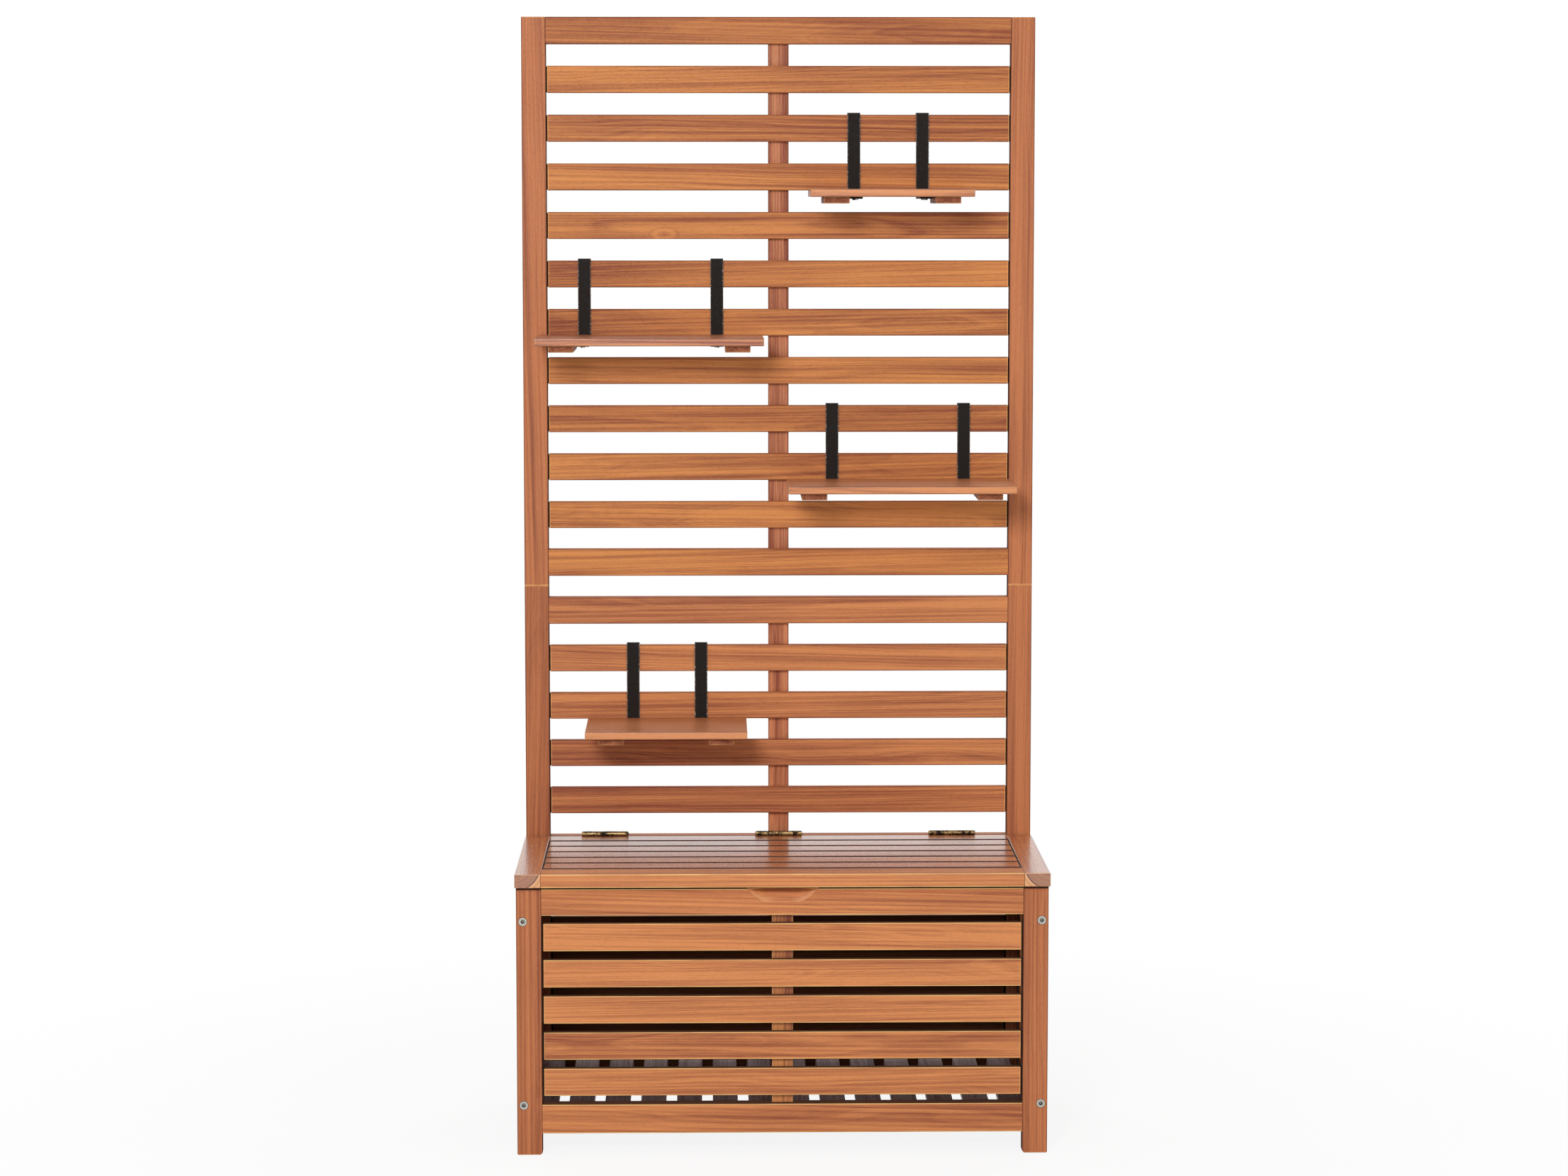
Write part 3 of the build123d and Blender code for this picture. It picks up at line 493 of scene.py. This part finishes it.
hardwood.links.new(wood_colour, result.inputs["Color"])
dullness = map_range(hardwood, fibres, 0.3, 0.7, 0.0, 0.10)
dullness = calculate(hardwood, "MULTIPLY_ADD", pores, 0.22, dullness)
dullness = calculate(hardwood, "MULTIPLY_ADD", given.outputs["End face"], 0.25, dullness)
hardwood.links.new(dullness, result.inputs["Roughness"])
height = calculate(hardwood, "MULTIPLY", fibre_tone, 0.5)
height = calculate(hardwood, "MULTIPLY_ADD", pores, -0.9, height)
height = calculate(hardwood, "MULTIPLY_ADD", knots, -0.6, height)
hardwood.links.new(height, result.inputs["Height"])

axis_number = {"x": 0, "y": 1, "z": 2}
directions = {"+x": (1, 0, 0), "-x": (-1, 0, 0), "+y": (0, 1, 0), "-y": (0, -1, 0), "+z": (0, 0, 1)}
tenon_shadow_colour = shade(20, 12, 10)
lid_shade_colour = shade(16, 10, 8)
dullness_in_painted_shade = 0.5
next_board = 0


def board_tones(tree, number, values):
    """A value for each board of a row, by its number, from the low end of the row."""
    count = len(values)
    place = calculate(tree, "DIVIDE", calculate(tree, "ADD", number, 0.5), float(count))
    ramp = add_node(tree, "ShaderNodeValToRGB", {"Fac": place})
    ramp.color_ramp.interpolation = "CONSTANT"
    stops = ramp.color_ramp.elements
    for i, value in enumerate(values):
        stop = stops[i] if i < 2 else stops.new(i / count)
        stop.position = i / count
        stop.color = (value, value, value, 1)
    if count == 1:
        stops.remove(stops[1])
    return ramp.outputs["Color"]


def timber(
    node,
    along,
    across,
    tones,
    width=None,
    length=None,
    figure=0.4,
    light=(215, 138, 84),
    dark=(138, 71, 48),
    arris=(104, 54, 38),
    arris_share=0.7,
    end_arris_share=0.6,
    roughness=0.48,
    shine=0.3,
    coat=0.0,
    inside=(),
    inside_colour=(52, 32, 24),
    inside_turn=(0.5, 0.85),
    inside_share=0.82,
    crevice=None,
    knot=None,
):
    """Gives a CAD node the timber, its boards counted across their faces.

    tones has a value for each board, or a pair, for its two ends. width and length are one
    board's face, without its tenons. inside has the one or two directions in which faces look
    that get a darker and duller tone, painted shade where they look into the box or a gap;
    inside_turn says how far over an eased edge it reaches, and inside_share how strong it is.
    crevice is the level above which painted shade sets in under the lid, over a line of the
    arris tone. knot has the number of a board, and the place of its knot along and across it.
    """
    global next_board
    low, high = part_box(node)
    through = ({"x", "y", "z"} - {along, across}).pop()
    along_index = axis_number[along]
    across_index = axis_number[across]
    through_index = axis_number[through]
    span = high[across_index] - low[across_index]
    width = width or span
    length_of_face = length or high[along_index] - low[along_index]
    count = len(tones)

    material = bpy.data.materials.new(f"oiled timber {node}")
    material.use_nodes = True
    tree = material.node_tree
    tree.nodes.clear()
    texture = add_node(tree, "ShaderNodeTexCoord")
    point = add_node(tree, "ShaderNodeSeparateXYZ", {0: texture.outputs["Object"]})
    facing = add_node(tree, "ShaderNodeSeparateXYZ", {0: texture.outputs["Normal"]})
    row = add_node(
        tree,
        "ShaderNodeGroup",
        {
            "Coordinate": point.outputs[across.upper()],
            "First": low[across_index] + width / 2,
            "Pitch": (span - width) / (count - 1) if count > 1 else 1.0,
            "Last number": count - 1,
        },
        node_tree=board_row,
    )
    from_middle = {}
    for axis, index in ((along, along_index), (through, through_index)):
        middle = (high[index] + low[index]) / 2
        from_middle[axis] = calculate(tree, "SUBTRACT", point.outputs[axis.upper()], middle)

    ends = [value if isinstance(value, tuple) else (value, value) for value in tones]
    tone = board_tones(tree, row.outputs["Number"], [first for first, last in ends])
    if any(first != last for first, last in ends):
        far_tone = board_tones(tree, row.outputs["Number"], [last for first, last in ends])
        part_way = map_range(
            tree, from_middle[along], -length_of_face / 2, length_of_face / 2, smooth=False
        )
        tone = blend_colours(tree, part_way, tone, far_tone)
    end_face = calculate(tree, "ABSOLUTE", facing.outputs[along.upper()])
    wood = add_node(
        tree,
        "ShaderNodeGroup",
        {
            "Along": from_middle[along],
            "Across": row.outputs["Centred"],
            "Through": from_middle[through],
            "Half length": length_of_face / 2,
            "Half width": width / 2,
            "Half thickness": (high[through_index] - low[through_index]) / 2,
            "End face": map_range(tree, end_face, 0.6, 0.9),
            "Board": calculate(tree, "ADD", row.outputs["Number"], float(next_board)),
            "Tone": tone,
            "Figure": figure,
            "Light wood": shade(*light),
            "Dark wood": shade(*dark),
            "Arris": shade(*arris),
            "Arris share": arris_share,
            "End arris share": end_arris_share,
        },
        node_tree=hardwood,
    )
    if knot:
        knot_board, knot_along, knot_across = knot
        wood.inputs["Knot along"].default_value = knot_along
        wood.inputs["Knot across"].default_value = knot_across
        on_board = calculate(tree, "COMPARE", row.outputs["Number"], float(knot_board), 0.5)
        tree.links.new(on_board, wood.inputs["Knot share"])
    next_board += count

    colour = wood.outputs["Color"]
    painted_shade_masks = []
    # painted shade, darker and duller, on faces that look into the box or a gap
    if inside:
        looks_in = add_node(
            tree,
            "ShaderNodeGroup",
            {
                "Normal": texture.outputs["Normal"],
                "First way": directions[inside[0]],
                "Second way": directions[inside[-1]],
                "Turn from": inside_turn[0],
                "Turn to": inside_turn[1],
                "Share": inside_share,
            },
            node_tree=turned_face,
        ).outputs["Mask"]
        colour = blend_colours(tree, looks_in, colour, shade(*inside_colour))
        painted_shade_masks.append(looks_in)
    if length:
        on_tenon = add_node(
            tree,
            "ShaderNodeGroup",
            {"Along": from_middle[along], "Half length": length / 2},
            node_tree=tenon_shadow,
        ).outputs["Mask"]
        colour = blend_colours(tree, on_tenon, colour, tenon_shadow_colour)
        painted_shade_masks.append(on_tenon)
    # painted shade under the lid, over a line of the arris tone
    if crevice:
        edge = add_node(
            tree,
            "ShaderNodeGroup",
            {"Z": point.outputs["Z"], "Level": crevice, "Normal": texture.outputs["Normal"]},
            node_tree=lid_edge_shade,
        )
        colour = blend_colours(tree, edge.outputs["Arris line"], colour, shade(*arris))
        colour = blend_colours(tree, edge.outputs["Painted shade"], colour, lid_shade_colour)
        painted_shade_masks.append(edge.outputs["Painted shade"])
    bump = add_node(
        tree,
        "ShaderNodeBump",
        {"Height": wood.outputs["Height"], "Strength": 0.35, "Distance": 0.0004},
    )
    rough = calculate(tree, "ADD", wood.outputs["Roughness"], roughness)
    for mask in painted_shade_masks:
        rough = calculate(tree, "MULTIPLY_ADD", mask, dullness_in_painted_shade, rough)
    oil = add_node(
        tree,
        "ShaderNodeBsdfPrincipled",
        {
            "Base Color": colour,
            "Roughness": calculate(tree, "MINIMUM", rough, 1.0),
            "Normal": bump.outputs["Normal"],
            "Specular IOR Level": shine,
            "Coat Weight": coat,
            "Coat Roughness": 0.16,
        },
    )
    if coat and painted_shade_masks:
        bare = painted_shade_masks[0]
        for mask in painted_shade_masks[1:]:
            bare = calculate(tree, "MAXIMUM", bare, mask)
        coated = calculate(tree, "MULTIPLY_ADD", bare, -coat, coat)
        tree.links.new(coated, oil.inputs["Coat Weight"])
    add_node(tree, "ShaderNodeOutputMaterial", {"Surface": oil.outputs["BSDF"]})
    finish(node, material)
    return material


def finish(node, material):
    """Puts a material on a CAD node."""
    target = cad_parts[node]
    if not target.material_slots:
        target.data.materials.append(material)
    for slot in target.material_slots:
        slot.material = material


# ---- front of the storage box --------------------------------------------------
# Two legs with a rail across them at the top and the bottom and five slats between,
# all stub-tenoned, with a batten screwed on behind the slats' middles. The slats and
# rails have arrises rubbed pale, partly wear and partly painted highlight. Painted shade
# darkens the legs and the top rail under the lid, and the faces that look back into the box
# or up into the gaps.
uprights = dict(light=(196, 120, 76), dark=(130, 69, 46), figure=0.35, inside_colour=(28, 17, 13))
rubbed_and_highlit = dict(arris=(248, 204, 130), arris_share=0.95)
# the level above which the legs and the top rail get painted shade under the lid's overhang
lid_shade_level = 0.4056
slat_width = 0.042
box_slat_length = 0.718
for side, inner, tone in (("left", "+x", 0.50), ("right", "-x", 0.68)):
    timber(f"front_leg_{side}", "z", "x", [tone], inside=[inner], crevice=lid_shade_level, **uprights)
rail = timber(
    "front_top_rail", "x", "z", [0.60], figure=0.25, inside=["+y"], crevice=lid_shade_level, **rubbed_and_highlit
)


def surface_of(material):
    """A timber material's tree, shader and colour, and a face's point and the way it looks."""
    tree = material.node_tree
    oil = next(made for made in tree.nodes if made.type == "BSDF_PRINCIPLED")
    texture = next(made for made in tree.nodes if made.type == "TEX_COORD")
    point = add_node(tree, "ShaderNodeSeparateXYZ", {0: texture.outputs["Object"]})
    facing = add_node(tree, "ShaderNodeSeparateXYZ", {0: texture.outputs["Normal"]})
    return tree, oil, oil.inputs["Base Color"].links[0].from_socket, point, facing


# the finger scoop in its top edge is cut across the grain: a pale rim, and painted shadow at its
# deepest
scoop_length = 0.114
scoop_end = scoop_length / 2
rim_colour = shade(236, 176, 126)
scoop_shadow_colour = shade(96, 50, 36)
tree, oil, timber_colour, point, facing = surface_of(rail)
cut_depth = calculate(tree, "SUBTRACT", point.outputs["Y"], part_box("front_top_rail")[0][1])
off_middle = calculate(tree, "ABSOLUTE", point.outputs["X"])
forwards = calculate(tree, "MULTIPLY", facing.outputs["Y"], -1.0)
in_scoop = calculate(
    tree,
    "MULTIPLY",
    map_range(tree, off_middle, scoop_end + 0.0005, scoop_end + 0.0015, 1.0, 0.0),
    map_range(tree, forwards, 0.5, 0.6),
)
rim = calculate(
    tree,
    "MULTIPLY",
    map_range(tree, cut_depth, 0.0001, 0.0006),
    map_range(tree, cut_depth, 0.0018, 0.0062, 1.0, 0.0),
)
rim = calculate(tree, "MULTIPLY", rim, map_range(tree, off_middle, 0.010, 0.032, 0.25, 1.0))
rim = calculate(tree, "MULTIPLY", calculate(tree, "MULTIPLY", rim, in_scoop), 0.55)
colour = blend_colours(tree, rim, timber_colour, rim_colour)
# painted shadow in the deepest part of the scoop
scoop_shadow = map_range(tree, cut_depth, 0.005, 0.012, 0.0, 0.62)
scoop_shadow = calculate(tree, "MULTIPLY", scoop_shadow, in_scoop)
tree.links.new(blend_colours(tree, scoop_shadow, colour, scoop_shadow_colour), oil.inputs["Base Color"])

timber("front_bottom_rail", "x", "z", [(0.70, 0.60)], figure=0.30, inside=["+y", "+z"], **rubbed_and_highlit)
timber(
    "front_slats",
    "x",
    "z",
    [0.65, (0.40, 0.50), 0.78, 0.66, 0.88],
    width=slat_width,
    length=box_slat_length,
    figure=0.45,
    inside=["+y", "+z"],
    **rubbed_and_highlit,
)
timber(
    "front_batten",
    "z",
    "x",
    [(0.78, 0.10)],
    light=(212, 138, 82),
    dark=(124, 66, 48),
    figure=0.6,
    arris=(232, 176, 118),
)

# ---- sides of the storage box --------------------------------------------------
# Each side is a frame of two stiles and two rails with five slats let into it,
# bolted to the leg in front and the post behind.
# their faces that look into the box get painted shade
for side, inner in (("left", "+x"), ("right", "-x")):
    timber(f"side_stiles_{side}", "z", "y", [0.5, 0.62], width=0.042, inside=[inner])
    timber(f"side_rails_{side}", "y", "z", [0.55, 0.66], width=0.0445, inside=[inner])
    timber(
        f"side_slats_{side}",
        "y",
        "z",
        [0.7, 0.5, 0.62, 0.8, 0.58],
        width=slat_width,
        inside=[inner],
    )

# ---- floor of the box ----------------------------------------------------------
# Fourteen short slats screwed down on two bearers along the front and the back. The
# floor is coloured a pale pinkish grey, a painted reflection of the white surround.
painted_reflection_grey = dict(light=(228, 204, 206), dark=(150, 124, 124))
timber("floor_slats", "y", "x", [0.5, 0.62, 0.44, 0.7, 0.55, 0.6, 0.48] * 2, width=0.038, **painted_reflection_grey)
timber("floor_bearers", "x", "y", [0.5, 0.6], width=0.020, **painted_reflection_grey)

# ---- back ----------------------------------------------------------------------
# Posts in two lengths, joined end to end, with a rail at the top and the bottom of
# each trellis, thin slats between them and a batten screwed up the middle behind.
trellis_slat_length = 0.720
# the posts' inner faces, beside the slat ends, get painted shade
for stage, tones in (("lower", (0.46, 0.76)), ("upper", (0.76, 0.74))):
    for side, inner, tone in zip(("left", "right"), ("+x", "-x"), tones):
        timber(f"{stage}_post_{side}", "z", "x", [tone], inside=[inner], **uprights)
upper_trellis = dict(light=(214, 137, 75), dark=(138, 71, 43))
timber("upper_top_rail", "x", "z", [(0.30, 0.29)], **upper_trellis)
timber("upper_bottom_rail", "x", "z", [(0.70, 0.60)], **upper_trellis)
timber("lower_top_rail", "x", "z", [(0.56, 0.70)])
# the faces of the hinge rail, the rear bottom rail and the rear slats that look into the box get
# painted shade
timber("hinge_rail", "x", "z", [0.5], inside=["-y"])
timber("rear_bottom_rail", "x", "z", [0.55], inside=["-y"])
# the right-hand end of the fourth slat from the top is toned darker partly as painted shadow under
# the upper right shelf
timber(
    "upper_slats",
    "x",
    "z",
    [
        (0.76, 0.80),
        (0.64, 0.56),
        (0.48, 0.28),
        (0.51, 0.62),
        (0.46, 0.48),
        (0.44, 0.64),
        (0.54, 0.40),
        (0.62, 0.50),
        (0.44, 0.28),
        (0.58, 0.42),
    ],
    width=slat_width,
    length=trellis_slat_length,
    figure=0.5,
    knot=(6, -0.179, -0.013),
    **upper_trellis,
)
# the left-hand end of the second slat from the bottom is toned darker as painted shadow under the
# lower left shelf
timber(
    "lower_slats",
    "x",
    "z",
    [(0.34, 0.50), (0.22, 0.64), (0.46, 0.80), (0.54, 0.66)],
    width=slat_width,
    length=trellis_slat_length,
    figure=0.5,
)
timber(
    "rear_slats",
    "x",
    "z",
    [0.5, 0.62, 0.55, 0.66, 0.48],
    width=slat_width,
    length=box_slat_length,
    inside=["-y"],
)
timber("upper_batten", "z", "x", [0.46], light=(206, 134, 94), figure=0.8)
timber("lower_batten", "z", "x", [0.60], light=(206, 130, 88), figure=0.8)

# ---- lid -----------------------------------------------------------------------
# Two side rails take a front rail, a rear rail and five slats, with a batten
# underneath. Its top has the most coats of oil and is the smoothest part of the bench;
# painted shade darkens the gaps between its slats and the side rails' inner faces.
lid_oil = dict(roughness=0.20, shine=0.7, coat=0.62, arris_share=0.2)
# painted shade on the faces and eased edges that look into the gaps between the slats
shade_in_gaps = dict(
    inside=["-y"], inside_colour=(58, 20, 9), inside_turn=(0.10, 0.40), inside_share=0.97
)
lid_slat_length = 0.719

# the sawn ends of its side rails show the brown heart of the tree, a dark ring round it, and
# paler wood outside
sawn_end, given, result = shader_group(
    "Sawn end", [("Aside", "float"), ("Above", "float")], [("Color", "colour")]
)
from_pith = distance(sawn_end, given.outputs["Aside"], given.outputs["Above"])
ring = add_node(
    sawn_end,
    "ShaderNodeTexNoise",
    {"W": from_pith, "Scale": 330.0, "Detail": 3.0},
    noise_dimensions="1D",
).outputs["Fac"]
ring = map_range(sawn_end, ring, 0.3, 0.7)
heart = blend_colours(sawn_end, ring, shade(136, 84, 60), shade(176, 122, 90))
outer = blend_colours(sawn_end, ring, shade(204, 138, 88), shade(226, 166, 112))
heart_radius = 0.0385
dark_ring_colour = shade(74, 40, 28)
outside_heart = map_range(sawn_end, from_pith, heart_radius, heart_radius + 0.0008)
end = blend_colours(sawn_end, outside_heart, heart, outer)
dark_ring = calculate(
    sawn_end,
    "MULTIPLY",
    map_range(sawn_end, from_pith, heart_radius - 0.0025, heart_radius - 0.0003),
    map_range(sawn_end, from_pith, heart_radius + 0.0003, heart_radius + 0.0011, 1.0, 0.0),
)
dark_ring = calculate(sawn_end, "MULTIPLY", dark_ring, 0.7)
end = blend_colours(sawn_end, dark_ring, end, dark_ring_colour)
sawn_end.links.new(end, result.inputs["Color"])

pith_from_middle = 0.4010
pith_height = 0.4445
for side, inner, pith_x, tone in (
    ("left", "+x", -pith_from_middle, 0.42),
    ("right", "-x", pith_from_middle, 0.46),
):
    rail = timber(
        f"lid_side_rail_{side}",
        "y",
        "x",
        [tone],
        inside=[inner],
        inside_colour=(28, 17, 13),
        **lid_oil,
    )
    tree, oil, timber_colour, point, facing = surface_of(rail)
    sawn = add_node(
        tree,
        "ShaderNodeGroup",
        {
            "Aside": calculate(tree, "SUBTRACT", point.outputs["X"], pith_x),
            "Above": calculate(tree, "SUBTRACT", point.outputs["Z"], pith_height),
        },
        node_tree=sawn_end,
    )
    forwards = calculate(tree, "MULTIPLY", facing.outputs["Y"], -1.0)
    front_end = map_range(tree, forwards, 0.6, 0.9, 0.0, 0.95)
    colour = blend_colours(tree, front_end, timber_colour, sawn.outputs["Color"])
    tree.links.new(colour, oil.inputs["Base Color"])

# its pale arrises are partly wear and partly painted highlight
timber(
    "lid_front_rail",
    "x",
    "y",
    [0.76],
    figure=0.2,
    roughness=0.36,
    shine=0.35,
    arris=(248, 204, 130),
    arris_share=0.95,
)
timber("lid_rear_rail", "x", "y", [0.5], **shade_in_gaps, **lid_oil)
timber(
    "lid_slats",
    "x",
    "y",
    [0.62, 0.67, 0.58, 0.68, 0.62],
    width=slat_width,
    length=lid_slat_length,
    **shade_in_gaps,
    **lid_oil,
)
timber("lid_batten", "y", "x", [0.5])

# ---- shelves -------------------------------------------------------------------
# Each shelf is a short board on two cleats, screwed from below. Its top is coloured a
# little darker, and its cleats are sawn short, so their dark end grain shows at the front.
shelves = ("upper_right", "upper_left", "middle_right", "lower_left")
for shelf, tone in zip(shelves, (0.70, 0.50, 0.80, 1.0)):
    timber(
        f"shelf_{shelf}_board",
        "x",
        "y",
        [tone],
        figure=1.0,
        arris=(84, 42, 28),
        end_arris_share=0.3,
        roughness=0.26,
        shine=0.5,
        coat=0.3,
        inside=["+z"],
        inside_colour=(96, 48, 34),
        inside_share=0.25,
    )
    timber(
        f"shelf_{shelf}_cleats",
        "y",
        "x",
        [0.24, 0.30],
        width=0.039,
        figure=0.9,
        light=(200, 126, 88),
        dark=(116, 60, 42),
        end_arris_share=0.35,
    )

# ---- hooks ---------------------------------------------------------------------
# Flat steel bar bent over a slat and under the shelf, painted a matt brown-black that
# has run a little uneven and is chipped to bare metal along its edges.
hook_width = 0.020
black_paint = shade(16, 12, 10)
thin_paint = shade(38, 30, 25)
bare_metal = shade(186, 172, 160)
chipped_paint, given, result = shader_group(
    "Chipped paint",
    [("Place", "vector"), ("From middle", "float"), ("Half width", "float")],
    [("Color", "colour"), ("Roughness", "float"), ("Height", "float")],
)
lumps, flakes = [
    add_node(
        chipped_paint,
        "ShaderNodeTexNoise",
        {"Vector": given.outputs["Place"], "Scale": scale, "Detail": detail},
    ).outputs["Fac"]
    for scale, detail in ((160.0, 4.0), (330.0, 3.0))
]
thinned = map_range(chipped_paint, lumps, 0.38, 0.66)
colour = blend_colours(chipped_paint, thinned, black_paint, thin_paint)
to_edge = calculate(
    chipped_paint,
    "SUBTRACT",
    given.outputs["Half width"],
    calculate(chipped_paint, "ABSOLUTE", given.outputs["From middle"]),
)
at_edge = map_range(chipped_paint, to_edge, 0.0004, 0.0016, 1.0, 0.0)
flaked = map_range(chipped_paint, flakes, 0.57, 0.63)
chipped = calculate(chipped_paint, "MULTIPLY", at_edge, flaked)
rubbed_edge = calculate(chipped_paint, "MULTIPLY", at_edge, 0.16)
worn = calculate(chipped_paint, "MULTIPLY_ADD", chipped, 0.8, rubbed_edge)
colour = blend_colours(chipped_paint, worn, colour, bare_metal)
chipped_paint.links.new(colour, result.inputs["Color"])
dullness = map_range(chipped_paint, lumps, 0.3, 0.7, 0.55, 0.8)
chipped_paint.links.new(dullness, result.inputs["Roughness"])
chipped_paint.links.new(lumps, result.inputs["Height"])

for shelf in shelves:
    low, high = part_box(f"shelf_{shelf}_hooks")
    material = bpy.data.materials.new(f"chipped black paint {shelf}")
    material.use_nodes = True
    tree = material.node_tree
    paint = tree.nodes["Principled BSDF"]
    texture = add_node(tree, "ShaderNodeTexCoord")
    point = add_node(tree, "ShaderNodeSeparateXYZ", {0: texture.outputs["Object"]})
    bar = add_node(
        tree,
        "ShaderNodeGroup",
        {
            "Coordinate": point.outputs["X"],
            "First": low[0] + hook_width / 2,
            "Pitch": high[0] - low[0] - hook_width,
            "Last number": 1,
        },
        node_tree=board_row,
    )
    coat = add_node(
        tree,
        "ShaderNodeGroup",
        {
            "Place": texture.outputs["Object"],
            "From middle": bar.outputs["Centred"],
            "Half width": hook_width / 2,
        },
        node_tree=chipped_paint,
    )
    tree.links.new(coat.outputs["Color"], paint.inputs["Base Color"])
    tree.links.new(coat.outputs["Roughness"], paint.inputs["Roughness"])
    paint.inputs["Specular IOR Level"].default_value = 0.18
    bump = add_node(
        tree,
        "ShaderNodeBump",
        {"Height": coat.outputs["Height"], "Strength": 0.5, "Distance": 0.0012},
    )
    tree.links.new(bump.outputs["Normal"], paint.inputs["Normal"])
    finish(f"shelf_{shelf}_hooks", material)

# ---- hinges --------------------------------------------------------------------
# Three butt hinges of pressed brass, browned, with the brown broken by blotches of yellow
# metal.
yellow_brass = shade(150, 124, 84)
brown_brass = shade(44, 34, 26)
material = bpy.data.materials.new("antique brass")
material.use_nodes = True
tree = material.node_tree
brass = tree.nodes["Principled BSDF"]
texture = add_node(tree, "ShaderNodeTexCoord")
blotches = add_node(
    tree,
    "ShaderNodeTexNoise",
    {"Vector": texture.outputs["Object"], "Scale": 120.0, "Detail": 5.0, "Roughness": 0.65},
).outputs["Fac"]
browned = map_range(tree, blotches, 0.42, 0.58)
colour = blend_colours(tree, browned, yellow_brass, brown_brass)
tree.links.new(colour, brass.inputs["Base Color"])
tree.links.new(map_range(tree, browned, 0.0, 1.0, 0.34, 0.62), brass.inputs["Roughness"])
brass.inputs["Metallic"].default_value = 0.8
bump = add_node(tree, "ShaderNodeBump", {"Height": blotches, "Strength": 0.4, "Distance": 0.0006})
tree.links.new(bump.outputs["Normal"], brass.inputs["Normal"])
for node in ("hinge_leaves_fixed", "hinge_leaves_lid", "hinge_pins"):
    finish(node, material)

# ---- bolts, nuts, plates and screws --------------------------------------------
# Zinc-plated steel. The bolts have low domed heads with a hex socket that is painted dark as
# shade; the plates across the post joints are screwed on from behind.
bright_zinc = shade(206, 204, 196)
clouded_zinc = shade(172, 168, 160)
zinc_bloom, given, result = shader_group(
    "Zinc bloom", [("Place", "vector")], [("Color", "colour"), ("Roughness", "float")]
)
bloom = add_node(
    zinc_bloom,
    "ShaderNodeTexNoise",
    {"Vector": given.outputs["Place"], "Scale": 90.0, "Detail": 4.0},
).outputs["Fac"]
bloomed = map_range(zinc_bloom, bloom, 0.35, 0.65)
colour = blend_colours(zinc_bloom, bloomed, bright_zinc, clouded_zinc)
zinc_bloom.links.new(colour, result.inputs["Color"])
dullness = map_range(zinc_bloom, bloom, 0.35, 0.65, 0.28, 0.5)
zinc_bloom.links.new(dullness, result.inputs["Roughness"])


def zinc_plating(name, metallic):
    """A zinc material, with its tree, its shader and its texture coordinates."""
    material = bpy.data.materials.new(name)
    material.use_nodes = True
    tree = material.node_tree
    zinc = tree.nodes["Principled BSDF"]
    texture = add_node(tree, "ShaderNodeTexCoord")
    plating = add_node(
        tree, "ShaderNodeGroup", {"Place": texture.outputs["Object"]}, node_tree=zinc_bloom
    )
    tree.links.new(plating.outputs["Color"], zinc.inputs["Base Color"])
    tree.links.new(plating.outputs["Roughness"], zinc.inputs["Roughness"])
    zinc.inputs["Metallic"].default_value = metallic
    return material, tree, zinc, texture


material, tree, zinc, texture = zinc_plating("zinc plate", 0.9)
for node in ("frame_screws", "lid_screws", "barrel_nuts", "joint_plates"):
    finish(node, material)
for shelf in shelves:
    finish(f"shelf_{shelf}_screws", material)

# painted light and shade across a bolt's head from its middle out: a painted highlight on the
# socket's floor, painted shade in the socket, painted highlights on two rings of the domed head
# with a dark ring between, and a painted contact shadow at its edge, at places that are shares
# of the head's radius
bolt_axis_x = 0.390
lower_bolt_z = 0.076
upper_bolt_z = 0.3565
bolt_head_radius = 0.0065
head_places = (0.0, 0.18, 0.24, 0.42, 0.48, 0.58, 0.64, 0.72, 0.9, 1.0)
head_tones = (0.4, 0.3, 0.03, 0.04, 0.75, 0.45, 0.1, 0.7, 0.6, 0.2)
material, tree, zinc, texture = zinc_plating("zinc bolt head", 0.5)
point = add_node(tree, "ShaderNodeSeparateXYZ", {0: texture.outputs["Object"]})
from_axes = [
    add_node(
        tree,
        "ShaderNodeGroup",
        {
            "Coordinate": point.outputs[axis],
            "First": first,
            "Pitch": last - first,
            "Last number": 1,
        },
        node_tree=board_row,
    ).outputs["Centred"]
    for axis, first, last in (("X", -bolt_axis_x, bolt_axis_x), ("Z", lower_bolt_z, upper_bolt_z))
]
share_of_head = calculate(tree, "DIVIDE", distance(tree, *from_axes), bolt_head_radius)
ramp = add_node(tree, "ShaderNodeValToRGB", {"Fac": share_of_head})
stops = ramp.color_ramp.elements
for i, (place, value) in enumerate(zip(head_places, head_tones)):
    stop = stops[i] if i < 2 else stops.new(place)
    stop.position = place
    stop.color = (value, value, value, 1)
socket_shade = shade(30, 26, 23)
head_metal = shade(232, 228, 216)
colour = blend_colours(tree, ramp.outputs["Color"], socket_shade, head_metal)
tree.links.new(colour, zinc.inputs["Base Color"])
finish("frame_bolts", material)

# ---- dowels --------------------------------------------------------------------
# Two plain beech dowels line the halves of each post up, glued into the end grain of
# the lower one; the joint hides them until the upper trellis is lifted off.
timber("post_dowels", "z", "x", [0.9], light=(225, 190, 140), dark=(190, 150, 105))
